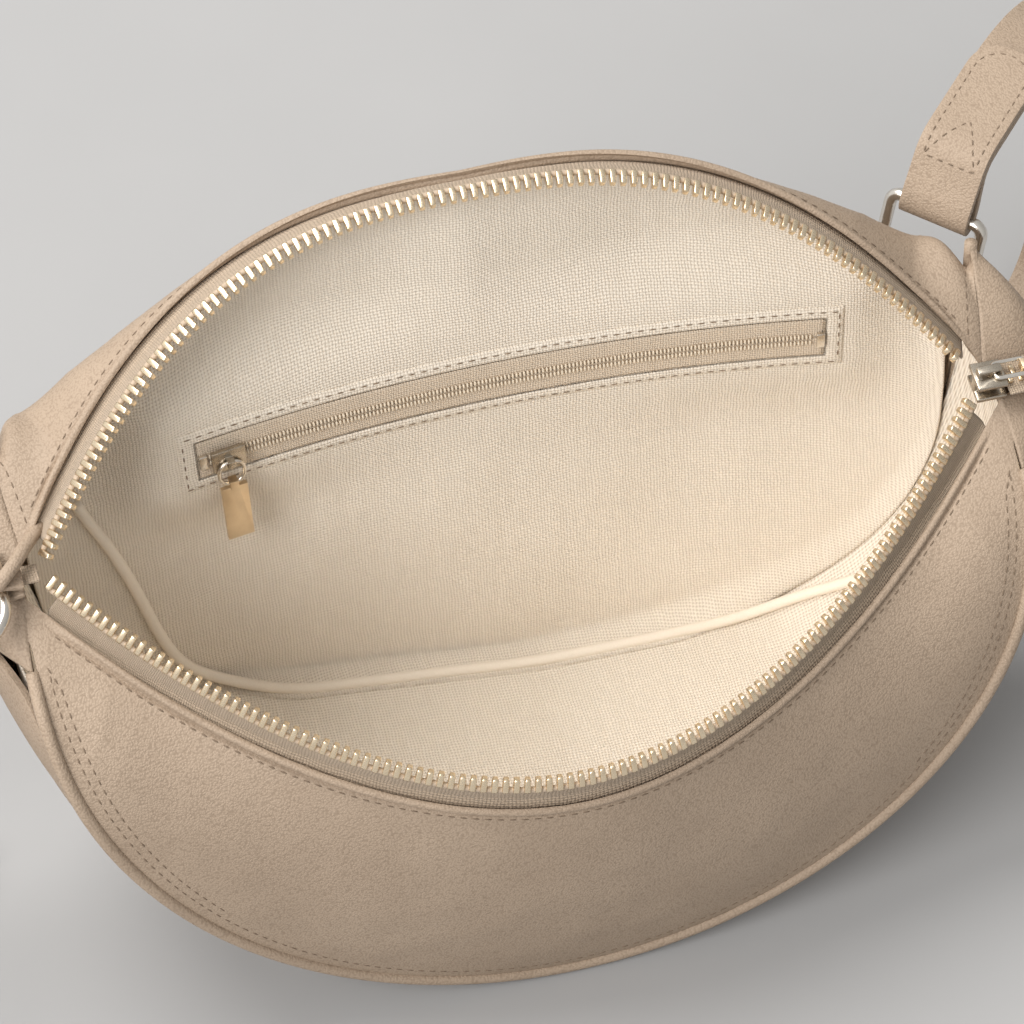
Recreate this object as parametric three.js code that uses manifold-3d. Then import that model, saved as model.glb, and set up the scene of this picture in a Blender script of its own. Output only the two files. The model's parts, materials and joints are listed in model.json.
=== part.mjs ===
import * as THREE from 'three';
import { mergeVertices } from 'three/addons/utils/BufferGeometryUtils.js';
import Module from 'manifold-3d';

// Half-moon belt bag, open, standing on its gusset. Millimetres, +Z up, -Y is the front.

// Mouth: two zip stringers that meet at the two tips, a little inside the ends of the seams
const SEAM_HALF = 120;
const MOUTH_SHARE = 0.95;
const MOUTH_HALF = SEAM_HALF * MOUTH_SHARE;
const TIP_Y = 14;
const TIP_Z = 119;
const FRONT_EDGE_Y = -51;
const FRONT_EDGE_Z = 86;
const FRONT_EDGE_POWER = 1.93;
const BACK_EDGE_Y = 61;
const BACK_EDGE_Z = 168;
const BACK_EDGE_POWER = 2.65;

// Seams between the panels and the gusset
const SEAM_Z = 2.2;
const SHOULDER_POWER = 0.12;
const FRONT_REACH_POWER = 0.42;
const FRONT_DROP_POWER = 1.15;
const FRONT_SEAM_Y = -51;
const FRONT_SEAM_TIP_Y = 6;
const FRONT_SEAM_TIP_Z = 108;
const BACK_REACH_POWER = 0.9;
const BACK_DROP_POWER = 0.43;
const BACK_SEAM_Y = 38;
const BACK_SEAM_TIP_Y = 18;
const BACK_SEAM_TIP_Z = 119;
const BACK_SHOULDER_OUT = 27;
const BACK_SHOULDER_UP = 40;
const TIP_ANGLE = 0.02;
const GUSSET_INSET = 0.004;
const GUSSET_LINING_INSET = 0.06;
const GUSSET_END_SHARE = 0.1;
const GUSSET_END_DIP = 8;
const GUSSET_END_OUT = 6;
const WELT_INSET_SHARE = 0.1;
const TIP_CROWD = 0.4;
const SWELL_FULL = 40;

// Fullness of the walls
const FRONT_SWELL_MID = 5;
const FRONT_SWELL_END = 5;
const FRONT_SWELL_LIFT = 1;
const BACK_SWELL_MID = 4.9;
const BACK_SWELL_END = 25.6;
const BACK_SWELL_LIFT = 0.51;
const SWELL_LIFT_SHARE = 0.16;
const SWELL_TIP_SHARE = 0.09;
const SWELL_END_POWER = 1.06;
const GUSSET_SWELL_RATIO = 0.12;

// Sheet thicknesses and clearances
const LEATHER = 1.8;
const LINING = 0.6;
const TAPE = 0.6;
const GAP = 0.3;
const SEAM_MARGIN = 2.3;
const LINING_MARGIN = 5;
const LINING_TOP = 4;
const PIPING_RADIUS = 1.6;
const WELT_RADIUS = 1.2;

// Metal zip
const TOOTH_PITCH = 2.54;
const TOOTH_LONG = 1.25;
const TOOTH_REACH = 1.7;
const TOOTH_HIGH = 2.4;
const TOOTH_BEAD = 1.2;
const TAPE_SHOW = 5.5;
const TAPE_HIDDEN = 4;
const TAPE_FROM = 0.025;
const STRINGER_LEFT = 0.978;
const STRINGER_RIGHT = 0.968;

// Main slider, its pull and the closed tail of the chain
const SLIDER_LONG = 7.5;
const SLIDER_WIDE = 8;
const SLIDER_PLATE = 1.2;
const SLIDER_THROAT = 3;
const TAIL_LONG = 17;
const TAIL_WIDE = 10.4;
const CHAIN_WIDE = 5.4;
const CHAIN_HIGH = 1.1;
const END_TAB_WIDE = 11;
const LINK_WIRE = 0.7;
const LINK_LONG = 8;
const LINK_WIDE = 4.6;
const PULL_LONG = 18;
const PULL_WIDE = 6.6;
const MAIN_PULL_WIDE = 4.2;
const PULL_THICK = 1.3;

// Inner pocket: a zip window on a gently bowed patch of the back lining
const POCKET_LEFT = -75.5;
const POCKET_RIGHT = 91.5;
const POCKET_Z = 104;
const POCKET_BOW_RADIUS = 464;
const POCKET_LEAN = 0.148;
const POCKET_FRAME_HIGH = 19;
const POCKET_WINDOW_HIGH = 12;
const POCKET_FRAME_END = 4.5;
const POCKET_COIL_WIDE = 1.5;

// D-rings, their leather loops and the strap
const WIRE_RADIUS = 1.6;
const RING_WIDE = 24.5;
const RING_LONG = 18;
const RING_TOP_ROUND = 2.6;
const RING_LOW_ROUND = 7;
const WIRE_CLEAR = 0.35;
const LOOP_WIDE = 9.6;
const LOOP_THICK = 1.4;
const LOOP_LEG = 14;
const LOOP_SEAT = 1.8;
const STRAP_WIDE = 18;
const STRAP_CLEAR = 0.35;
const TAB_LONG = 50;
const TAB_ROUND = 7;
const STRAP_PINCH = 12;
const STRAP_TURN_RADIUS = 7;
const STRAP_RUN = -8;
const RIGHT_STRAP_BEND = 60;
const LEFT_STRAP_BEND = 34;
const STRAP_FOOT_BEND = 16;
const STRAP_END = 45;
const STRAP_TIP = 9;
const HOLE_RADIUS = 1.8;
const HOLE_PITCH = 7.5;
const HOLE_COUNT = 5;
const HOLE_START = 5;
const RIGHT_RING_SHARE = 0.865;
const RIGHT_RING_TURN = 0.76;
const RIGHT_RING_DEPTH = 0.5;
const RIGHT_RING_RISE = 1.25;
const RIGHT_STRAP_START = 1.2;
const RIGHT_STRAP_RISE = 0.05;
const LEFT_RING_RISE = -0.4;
const LEFT_STRAP_RISE = 0.26;
const LEFT_RING_SHIFT = 2;

// Pin buckle at the end of the left strap
const BUCKLE_LONG = 19;
const BUCKLE_WIDE = 24;
const BUCKLE_WIRE = 1.5;
const BUCKLE_ROUND = 4;
const BUCKLE_BAR_ROUND = 2;
const BUCKLE_SHORT = 1;
const BUCKLE_FOLD = 20;
const PRONG_WIDE = 2.6;
const PRONG_THICK = 1.4;
const PRONG_OVER = 1.2;
const PRONG_SIDE = 0.7;
const KEEPER_WIDE = 8;
const KEEPER_THICK = 1.2;
const KEEPER_CLEAR = 0.35;
const KEEPER_STAND = KEEPER_THICK + KEEPER_CLEAR;

// Mesh fineness
const LONG_STEPS = 34;
const HIGH_STEPS = 8;
const LINING_HIGH_STEPS = 7;
const GUSSET_WIDE_STEPS = 6;
const TAPE_STEPS = 42;
const PIPING_STEPS = 44;
const CURVE_STEPS = 600;
const TOOTH_STEPS = 2000;
const RUN_STEP = 0.002;
const BISECT_STEPS = 14;
const WIRE_SIDES = 8;
const POCKET_STEPS = 18;
const TURN_STEPS = 4;
const ROUND_STEPS = 4;
const HOLE_SIDES = 10;

const wasm = await Module();
wasm.setup();

const vec = (x, y, z) => new THREE.Vector3(x, y, z);
const mix = (a, b, t) => a + (b - a) * t;
const group = new THREE.Group();
group.name = 'belt_bag';

const LOOKS = {
  leather: { color: 0xb09c88, roughness: 0.72, metalness: 0 },
  lining: { color: 0xd8c8b0, roughness: 0.95, metalness: 0 },
  tape: { color: 0xb8a68e, roughness: 0.9, metalness: 0 },
  brass: { color: 0xd9c4a0, roughness: 0.28, metalness: 1 },
  nickel: { color: 0xb3aaa0, roughness: 0.25, metalness: 1 },
  coil: { color: 0xb5a58c, roughness: 0.6, metalness: 0 },
};

function addPart(name, geometry, look) {
  const mesh = new THREE.Mesh(geometry, new THREE.MeshStandardMaterial(LOOKS[look]));
  mesh.name = name;
  mesh.material.name = look;
  group.add(mesh);
  return mesh;
}

// Closed geometry from points and triangles, turned so that its faces point out
function solid(points, faces) {
  let volume = 0;
  for (const [a, b, c] of faces) {
    const cross = vec(0, 0, 0).crossVectors(points[b], points[c]);
    volume += points[a].dot(cross);
  }
  const order = volume >= 0 ? faces : faces.map(([a, b, c]) => [a, c, b]);
  const geometry = new THREE.BufferGeometry();
  const flat = points.flatMap((p) => [p.x, p.y, p.z]);
  geometry.setAttribute('position', new THREE.Float32BufferAttribute(flat, 3));
  geometry.setIndex(order.flat());
  geometry.computeVertexNormals();
  return geometry;
}

// Sheet solid between two point grids of the same size
function sheet(outer, inner) {
  const rows = outer.length;
  const cols = outer[0].length;
  const points = [...outer.flat(), ...inner.flat()];
  const at = (side, i, j) => side * rows * cols + i * cols + j;
  const faces = [];
  const quad = (a, b, c, d) => faces.push([a, b, c], [a, c, d]);
  for (let i = 0; i + 1 < rows; i += 1) {
    for (let j = 0; j + 1 < cols; j += 1) {
      quad(at(0, i, j), at(0, i + 1, j), at(0, i + 1, j + 1), at(0, i, j + 1));
      quad(at(1, i, j), at(1, i, j + 1), at(1, i + 1, j + 1), at(1, i + 1, j));
    }
    quad(at(0, i, 0), at(1, i, 0), at(1, i + 1, 0), at(0, i + 1, 0));
    quad(at(0, i, cols - 1), at(0, i + 1, cols - 1), at(1, i + 1, cols - 1), at(1, i, cols - 1));
  }
  for (let j = 0; j + 1 < cols; j += 1) {
    quad(at(0, 0, j), at(0, 0, j + 1), at(1, 0, j + 1), at(1, 0, j));
    quad(at(0, rows - 1, j), at(1, rows - 1, j), at(1, rows - 1, j + 1), at(0, rows - 1, j + 1));
  }
  return solid(points, faces);
}

// Unit normals of a point grid by central differences
function gridNormals(grid, sign) {
  const rows = grid.length;
  const cols = grid[0].length;
  return grid.map((row, i) => row.map((point, j) => {
    const along = grid[Math.min(i + 1, rows - 1)][j].clone().sub(grid[Math.max(i - 1, 0)][j]);
    const down = row[Math.min(j + 1, cols - 1)].clone().sub(row[Math.max(j - 1, 0)]);
    return along.cross(down).normalize().multiplyScalar(sign);
  }));
}

function shifted(grid, normals, distance) {
  return grid.map((row, i) => row.map((p, j) => p.clone().addScaledVector(normals[i][j], distance)));
}

// Round tube along points, closed on itself or capped at both ends
function tube(points, radius, sides, closed, lead) {
  const count = points.length;
  const tangents = points.map((p, i) => {
    const next = closed ? points[(i + 1) % count] : points[Math.min(i + 1, count - 1)];
    const last = closed ? points[(i + count - 1) % count] : points[Math.max(i - 1, 0)];
    return next.clone().sub(last).normalize();
  });
  const ringPoints = [];
  let side = lead.clone();
  points.forEach((p, i) => {
    side = side.clone().addScaledVector(tangents[i], -side.dot(tangents[i])).normalize();
    const up = tangents[i].clone().cross(side);
    for (let k = 0; k < sides; k += 1) {
      const turn = (2 * Math.PI * k) / sides;
      const offset = side.clone().multiplyScalar(radius * Math.cos(turn));
      offset.addScaledVector(up, radius * Math.sin(turn));
      ringPoints.push(p.clone().add(offset));
    }
  });
  const faces = [];
  const spans = closed ? count : count - 1;
  for (let i = 0; i < spans; i += 1) {
    const next = (i + 1) % count;
    for (let k = 0; k < sides; k += 1) {
      const turn = (k + 1) % sides;
      faces.push([i * sides + k, next * sides + k, next * sides + turn]);
      faces.push([i * sides + k, next * sides + turn, i * sides + turn]);
    }
  }
  if (!closed) {
    const base = (count - 1) * sides;
    for (let k = 1; k + 1 < sides; k += 1) {
      faces.push([0, k, k + 1]);
      faces.push([base, base + k + 1, base + k]);
    }
  }
  return solid(ringPoints, faces);
}

// Plate with cells left out, mapped into place: place(i, j, side)
function cellPlate(rows, cols, filled, place) {
  const points = [];
  const index = new Map();
  const at = (i, j, side) => {
    const key = `${i},${j},${side}`;
    if (!index.has(key)) {
      index.set(key, points.length);
      points.push(place(i, j, side));
    }
    return index.get(key);
  };
  const has = (i, j) => i >= 0 && j >= 0 && i < rows && j < cols && filled(i, j);
  const faces = [];
  const quad = (a, b, c, d) => faces.push([a, b, c], [a, c, d]);
  const wall = (i0, j0, i1, j1) => quad(at(i0, j0, 0), at(i0, j0, 1), at(i1, j1, 1), at(i1, j1, 0));
  for (let i = 0; i < rows; i += 1) {
    for (let j = 0; j < cols; j += 1) {
      if (!has(i, j)) continue;
      quad(at(i, j, 0), at(i + 1, j, 0), at(i + 1, j + 1, 0), at(i, j + 1, 0));
      quad(at(i, j, 1), at(i, j + 1, 1), at(i + 1, j + 1, 1), at(i + 1, j, 1));
      if (!has(i, j - 1)) wall(i, j, i + 1, j);
      if (!has(i, j + 1)) wall(i + 1, j + 1, i, j + 1);
      if (!has(i - 1, j)) wall(i, j + 1, i, j);
      if (!has(i + 1, j)) wall(i + 1, j, i + 1, j + 1);
    }
  }
  return solid(points, faces);
}

function toManifold(geometry) {
  const vertProperties = new Float32Array(geometry.attributes.position.array);
  const triVerts = new Uint32Array(geometry.index.array);
  return new wasm.Manifold(new wasm.Mesh({ numProp: 3, vertProperties, triVerts }));
}

function fromManifold(body) {
  const mesh = body.getMesh();
  const geometry = new THREE.BufferGeometry();
  const flat = [];
  for (let i = 0; i < mesh.numVert; i += 1) {
    flat.push(...mesh.vertProperties.slice(i * mesh.numProp, i * mesh.numProp + 3));
  }
  geometry.setAttribute('position', new THREE.Float32BufferAttribute(flat, 3));
  geometry.setIndex(Array.from(mesh.triVerts));
  geometry.computeVertexNormals();
  return geometry;
}

// Three.js shape with its corners shared, as a body that can be joined or cut
function shapeBody(shape) {
  shape.deleteAttribute('normal');
  shape.deleteAttribute('uv');
  return toManifold(mergeVertices(shape));
}

const block = (long, wide, high, x, y, z) => (
  shapeBody(new THREE.BoxGeometry(long, wide, high).translate(x, y, z))
);
const rod = (radius, long, sides) => new THREE.CylinderGeometry(radius, radius, long, sides);
const placed = (geometry, spot) => geometry.translate(spot.x, spot.y, spot.z);

// Curves of the bag; angle runs from 0 at the left tip to pi at the right tip
function mouthLine(edgeY, edgeZ, power, angle) {
  const across = -Math.cos(angle);
  const rise = 1 - Math.abs(across) ** power;
  return vec(MOUTH_HALF * across, mix(TIP_Y, edgeY, rise), mix(TIP_Z, edgeZ, rise));
}

function seamLine(seam, angle) {
  const sweep = Math.max(Math.sin(angle), 0);
  const shoulder = sweep ** SHOULDER_POWER;
  const swell = 4 * shoulder * (1 - shoulder);
  const y = mix(seam.tipY, seam.lowY, sweep ** seam.reach) + seam.out * swell;
  const z = mix(seam.tipZ, SEAM_Z, sweep ** seam.power) + seam.up * swell;
  return vec(-SEAM_HALF * Math.cos(angle), y, z);
}

const FRONT_SEAM = {
  tipY: FRONT_SEAM_TIP_Y,
  tipZ: FRONT_SEAM_TIP_Z,
  lowY: FRONT_SEAM_Y,
  reach: FRONT_REACH_POWER,
  power: FRONT_DROP_POWER,
  out: 0,
  up: 0,
};

const BACK_SEAM = {
  tipY: BACK_SEAM_TIP_Y,
  tipZ: BACK_SEAM_TIP_Z,
  lowY: BACK_SEAM_Y,
  reach: BACK_REACH_POWER,
  power: BACK_DROP_POWER,
  out: BACK_SHOULDER_OUT,
  up: BACK_SHOULDER_UP,
};

const FRONT = {
  sign: -1,
  teeth: (angle) => mouthLine(FRONT_EDGE_Y, FRONT_EDGE_Z, FRONT_EDGE_POWER, angle),
  seam: (angle) => seamLine(FRONT_SEAM, angle),
  tapeTip: vec(0, 0.8, 0.6),
  tapeMid: vec(0, 0.3, 0.95),
  swellMid: FRONT_SWELL_MID,
  swellEnd: FRONT_SWELL_END,
  swellLift: FRONT_SWELL_LIFT,
  rowPower: 1.25,
};

const BACK = {
  sign: 1,
  teeth: (angle) => mouthLine(BACK_EDGE_Y, BACK_EDGE_Z, BACK_EDGE_POWER, angle),
  seam: (angle) => seamLine(BACK_SEAM, angle),
  tapeTip: vec(0, -0.95, -0.1),
  tapeMid: vec(0, -0.95, -0.2),
  swellMid: BACK_SWELL_MID,
  swellEnd: BACK_SWELL_END,
  swellLift: BACK_SWELL_LIFT,
  rowPower: 2,
};

// Direction of the zip tape at a stringer, square to the run of the teeth
function tapeRise(wall, angle) {
  const run = wall.teeth(angle + RUN_STEP).sub(wall.teeth(angle - RUN_STEP)).normalize();
  const rise = wall.tapeTip.clone().lerp(wall.tapeMid, Math.sin(angle));
  return rise.addScaledVector(run, -rise.dot(run)).normalize();
}

function rim(wall, angle) {
  return wall.teeth(angle).addScaledVector(tapeRise(wall, angle), -TAPE_SHOW);
}

// Angle on a curve at a share of its length between the two tips
function shareAngles(curve) {
  const angles = [];
  const lengths = [0];
  for (let i = 0; i <= CURVE_STEPS; i += 1) {
    angles.push(mix(TIP_ANGLE, Math.PI - TIP_ANGLE, i / CURVE_STEPS));
    if (i > 0) lengths.push(lengths[i - 1] + curve(angles[i]).distanceTo(curve(angles[i - 1])));
  }
  return (share) => {
    const goal = THREE.MathUtils.clamp(share, 0, 1) * lengths[CURVE_STEPS];
    let i = 1;
    while (i < CURVE_STEPS && lengths[i] < goal) i += 1;
    const part = (goal - lengths[i - 1]) / (lengths[i] - lengths[i - 1]);
    return mix(angles[i - 1], angles[i], part);
  };
}

for (const wall of [FRONT, BACK]) {
  wall.topAngle = shareAngles(wall.teeth);
  wall.lowAngle = shareAngles(wall.seam);
  wall.top = (share) => rim(wall, wall.topAngle(share));
  wall.low = (share) => wall.seam(wall.lowAngle(share));
}

const SHARE_STEP = 0.012;
const ANGLE_STEP = 0.01;
function ruledNormal(wall, share) {
  const from = Math.max(share - SHARE_STEP, 0);
  const to = Math.min(share + SHARE_STEP, 1);
  const along = wall.top(to).add(wall.low(to)).sub(wall.top(from)).sub(wall.low(from));
  const down = wall.low(share).sub(wall.top(share));
  return along.cross(down).normalize().multiplyScalar(wall.sign);
}

// Point on the outer face of a wall; depth runs from 0 at the rim to 1 at the seam
function wallPoint(wall, share, depth) {
  const point = wall.top(share).lerp(wall.low(share), depth);
  const end = Math.abs(2 * share - 1) ** SWELL_END_POWER;
  const tip = Math.min(share, 1 - share);
  const inside = Math.min(tip / SWELL_LIFT_SHARE, 1);
  const lift = Math.sin(Math.PI * Math.max(depth, 0) ** mix(1, wall.swellLift, inside));
  const swell = mix(wall.swellMid, wall.swellEnd, end) * lift;
  const fade = Math.min(wallHeight(wall, share) / SWELL_FULL, 1) * Math.min(tip / SWELL_TIP_SHARE, 1);
  return point.addScaledVector(ruledNormal(wall, share), swell * fade);
}

function wallNormal(wall, share, depth) {
  const from = Math.max(share - SHARE_STEP, 0);
  const to = Math.min(share + SHARE_STEP, 1);
  const along = wallPoint(wall, to, depth).sub(wallPoint(wall, from, depth));
  const down = wallPoint(wall, share, depth + SHARE_STEP).sub(wallPoint(wall, share, depth));
  return along.cross(down).normalize().multiplyScalar(wall.sign);
}

const wallHeight = (wall, share) => wall.top(share).distanceTo(wall.low(share));

// Depth at which a wall has gone a straight distance from its rim
function rimDepth(wall, share, distance) {
  const start = wallPoint(wall, share, 0);
  let low = 0;
  let high = 0.5;
  for (let k = 0; k < BISECT_STEPS; k += 1) {
    const middle = (low + high) / 2;
    if (wallPoint(wall, share, middle).distanceTo(start) < distance) low = middle;
    else high = middle;
  }
  return (low + high) / 2;
}

// Share of a wall height that keeps a straight distance from its seam
function seamShare(wall, share, margin) {
  const from = Math.max(share - SHARE_STEP, 0);
  const to = Math.min(share + SHARE_STEP, 1);
  const run = wall.low(to).sub(wall.low(from)).normalize();
  const down = wall.low(share).sub(wall.top(share));
  const square = down.clone().addScaledVector(run, -down.dot(run)).length();
  return Math.min(margin / square, 0.45);
}

const tipShare = (part) => part - (TIP_CROWD * Math.sin(2 * Math.PI * part)) / (2 * Math.PI);
const seamAngle = (part, inset) => FRONT.lowAngle(mix(inset, 1 - inset, tipShare(part)));

function wallGrid(wall, longSteps, highSteps, topMargin, lowMargin) {
  const grid = [];
  for (let i = 0; i <= longSteps; i += 1) {
    const share = tipShare(i / longSteps);
    const first = topMargin > 0 ? rimDepth(wall, share, topMargin) : 0;
    const last = 1 - seamShare(wall, share, lowMargin);
    const row = [];
    for (let j = 0; j <= highSteps; j += 1) {
      const depth = mix(first, last, (j / highSteps) ** wall.rowPower);
      row.push(wallPoint(wall, share, depth));
    }
    grid.push(row);
  }
  return grid;
}

// Share of the gusset width that keeps a straight distance from a seam
function edgeShare(wall, near, far, angle, margin) {
  const from = Math.max(angle - ANGLE_STEP, TIP_ANGLE);
  const to = Math.min(angle + ANGLE_STEP, Math.PI - TIP_ANGLE);
  const run = wall.seam(to).sub(wall.seam(from)).normalize();
  const across = far.clone().sub(near);
  const square = across.addScaledVector(run, -across.dot(run)).length();
  return Math.min(margin / square, 0.4);
}

function gussetGrid(longSteps, wideSteps, margin, inset) {
  const grid = [];
  for (let i = 0; i <= longSteps; i += 1) {
    const angle = seamAngle(i / longSteps, inset);
    const share = mix(inset, 1 - inset, tipShare(i / longSteps));
    const full = Math.min(Math.min(share, 1 - share) / GUSSET_END_SHARE, 1);
    const front = FRONT.seam(angle);
    const back = BACK.seam(angle);
    const width = front.distanceTo(back);
    const out = vec(-Math.cos(angle), 0, -Math.sin(angle));
    const row = [];
    const fromFront = edgeShare(FRONT, front, back, angle, margin);
    const fromBack = edgeShare(BACK, back, front, angle, margin);
    for (let j = 0; j <= wideSteps; j += 1) {
      const across = mix(fromFront, 1 - fromBack, j / wideSteps);
      const bow = 4 * across * (1 - across);
      const point = front.clone().lerp(back, across);
      point.addScaledVector(out, GUSSET_SWELL_RATIO * width * full * bow);
      point.addScaledVector(out, GUSSET_END_OUT * (1 - full) * Math.sqrt(bow));
      point.z = Math.max(point.z - GUSSET_END_DIP * (1 - full) * bow, 0);
      row.push(point);
    }
    grid.push(row);
  }
  return grid;
}

// Leather panels
function panel(wall) {
  const grid = wallGrid(wall, LONG_STEPS, HIGH_STEPS, 0, SEAM_MARGIN);
  const normals = gridNormals(grid, wall.sign);
  return sheet(grid, shifted(grid, normals, -LEATHER));
}

addPart('front_panel', panel(FRONT), 'leather');
addPart('back_panel', panel(BACK), 'leather');

const gussetOuter = gussetGrid(LONG_STEPS, GUSSET_WIDE_STEPS, SEAM_MARGIN, GUSSET_INSET);
const gussetNormals = gridNormals(gussetOuter, -1);
addPart('gusset', sheet(gussetOuter, shifted(gussetOuter, gussetNormals, -LEATHER)), 'leather');

function seamPoints(wall, steps, start, inset) {
  const points = [];
  for (let i = 0; i <= steps; i += 1) {
    const angle = seamAngle(i / steps, start);
    const inward = vec(Math.cos(angle), -wall.sign, Math.sin(angle)).normalize();
    points.push(wall.seam(angle).addScaledVector(inward, inset));
  }
  return points;
}

const CORD_SIDES = 6;
const CORD_LEAD = vec(0, 1, 0);
const cord = (points, radius) => tube(points, radius, CORD_SIDES, false, CORD_LEAD);
addPart('front_piping', cord(seamPoints(FRONT, PIPING_STEPS, 0, 0), PIPING_RADIUS), 'leather');
addPart('back_piping', cord(seamPoints(BACK, PIPING_STEPS, 0, 0), PIPING_RADIUS), 'leather');

// Linings
const LINING_OUT = LEATHER + TAPE + 4 * GAP;
function wallLining(wall) {
  const grid = wallGrid(wall, LONG_STEPS, LINING_HIGH_STEPS, LINING_TOP, LINING_MARGIN);
  const normals = gridNormals(grid, wall.sign);
  return sheet(shifted(grid, normals, -LINING_OUT), shifted(grid, normals, -LINING_OUT - LINING));
}

addPart('front_lining', wallLining(FRONT), 'lining');
addPart('back_lining', wallLining(BACK), 'lining');

const floorGrid = gussetGrid(LONG_STEPS, GUSSET_WIDE_STEPS, LINING_MARGIN, GUSSET_LINING_INSET);
const floorNormals = gridNormals(floorGrid, -1);
const FLOOR_OUT = LEATHER + 5 * GAP;
const floorUnder = shifted(floorGrid, floorNormals, -FLOOR_OUT);
const floorTop = shifted(floorGrid, floorNormals, -FLOOR_OUT - LINING);
addPart('gusset_lining', sheet(floorUnder, floorTop), 'lining');

const WELT_INSET = LINING_OUT + LINING + GAP + WELT_RADIUS;
const weltPoints = seamPoints(BACK, PIPING_STEPS, WELT_INSET_SHARE, WELT_INSET);
addPart('back_lining_welt', cord(weltPoints, WELT_RADIUS), 'lining');

// Zip tapes: from under the rim up to the teeth
const LEFT_END = Math.acos(STRINGER_LEFT);
const RIGHT_END = Math.PI - Math.acos(STRINGER_RIGHT);
const TAPE_INSET = -(LEATHER + 2 * GAP + TAPE / 2);
function zipTape(wall) {
  const grid = [];
  for (let i = 0; i <= TAPE_STEPS; i += 1) {
    const share = mix(TAPE_FROM, 1 - TAPE_FROM, tipShare(i / TAPE_STEPS));
    const angle = wall.topAngle(share);
    const low = rimDepth(wall, share, TAPE_HIDDEN);
    const rise = tapeRise(wall, angle);
    const under = (depth) => (
      wallPoint(wall, share, depth).addScaledVector(wallNormal(wall, share, depth), TAPE_INSET)
    );
    const teethEdge = wall.teeth(angle).addScaledVector(rise, -TOOTH_BEAD - GAP);
    grid.push([under(low), under(0).addScaledVector(rise, GAP), teethEdge]);
  }
  const normals = gridNormals(grid, 1);
  return sheet(shifted(grid, normals, TAPE / 2), shifted(grid, normals, -TAPE / 2));
}

addPart('front_zip_tape', zipTape(FRONT), 'tape');
addPart('back_zip_tape', zipTape(BACK), 'tape');

// Points at even spacing along a stringer, with the angle of each
function evenAngles(wall, pitch) {
  const angles = [LEFT_END];
  let travelled = 0;
  let last = wall.teeth(LEFT_END);
  for (let i = 1; i <= TOOTH_STEPS; i += 1) {
    const angle = mix(LEFT_END, RIGHT_END, i / TOOTH_STEPS);
    const point = wall.teeth(angle);
    travelled += point.distanceTo(last);
    last = point;
    if (travelled >= pitch) {
      angles.push(angle);
      travelled -= pitch;
    }
  }
  return angles;
}

// One row of teeth joined by the bead that holds them on the tape edge
function toothRow(wall) {
  const angles = evenAngles(wall, TOOTH_PITCH);
  const points = [];
  const faces = [];
  const quad = (a, b, c, d) => faces.push([a, b, c], [a, c, d]);
  const stride = 10;
  angles.forEach((angle) => {
    const centre = wall.teeth(angle);
    const run = wall.teeth(angle + RUN_STEP).sub(wall.teeth(angle - RUN_STEP)).normalize();
    const rise = tapeRise(wall, angle);
    const face = run.clone().cross(rise);
    const put = (along, up, side) => {
      const point = centre.clone().addScaledVector(run, along * TOOTH_LONG * 0.5);
      points.push(point.addScaledVector(rise, up).addScaledVector(face, side * TOOTH_HIGH * 0.5));
    };
    for (const side of [-1, 1]) {
      put(0, -TOOTH_BEAD, side);
      put(-1, 0, side);
      put(1, 0, side);
      put(-1, TOOTH_REACH, side);
      put(1, TOOTH_REACH, side);
    }
  });
  const count = angles.length;
  for (let i = 0; i < count; i += 1) {
    const p = i * stride;
    const top = p + 5;
    faces.push([p, p + 2, p + 1], [top, top + 1, top + 2]);
    quad(p + 1, p + 2, p + 4, p + 3);
    quad(top + 1, top + 3, top + 4, top + 2);
    quad(p + 1, p + 3, top + 3, top + 1);
    quad(p + 3, p + 4, top + 4, top + 3);
    quad(p + 4, p + 2, top + 2, top + 4);
    if (i + 1 < count) {
      const q = p + stride;
      const far = q + 5;
      quad(p, q, q + 1, p + 2);
      quad(top, top + 2, far + 1, far);
      quad(p + 2, q + 1, far + 1, top + 2);
      quad(p, top, far, q);
    }
  }
  const end = (count - 1) * stride;
  quad(0, 1, 6, 5);
  quad(end, end + 5, end + 7, end + 2);
  return solid(points, faces);
}

addPart('front_zip_teeth', toothRow(FRONT), 'brass');
addPart('back_zip_teeth', toothRow(BACK), 'brass');

// Main slider at the right tip, on the tape line
const SLIDER_X = MOUTH_HALF * STRINGER_RIGHT + SLIDER_LONG / 2 + 2 * GAP + TOOTH_LONG;
const TAIL_X = SLIDER_X + SLIDER_LONG / 2 + GAP;
const POST_LONG = 2;
const BRIDGE_HIGH = 2.2;
const BRIDGE_LONG = 6;
const BRIDGE_WIDE = 2.2;
const PLATE_RISE = SLIDER_THROAT / 2 + SLIDER_PLATE / 2;
const SLIDER_TOP = SLIDER_THROAT / 2 + SLIDER_PLATE;
const BRIDGE_ROOF = 0.9;
const BRIDGE_LEG = 1;
const BRIDGE_OPEN = BRIDGE_HIGH - BRIDGE_ROOF;

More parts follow.
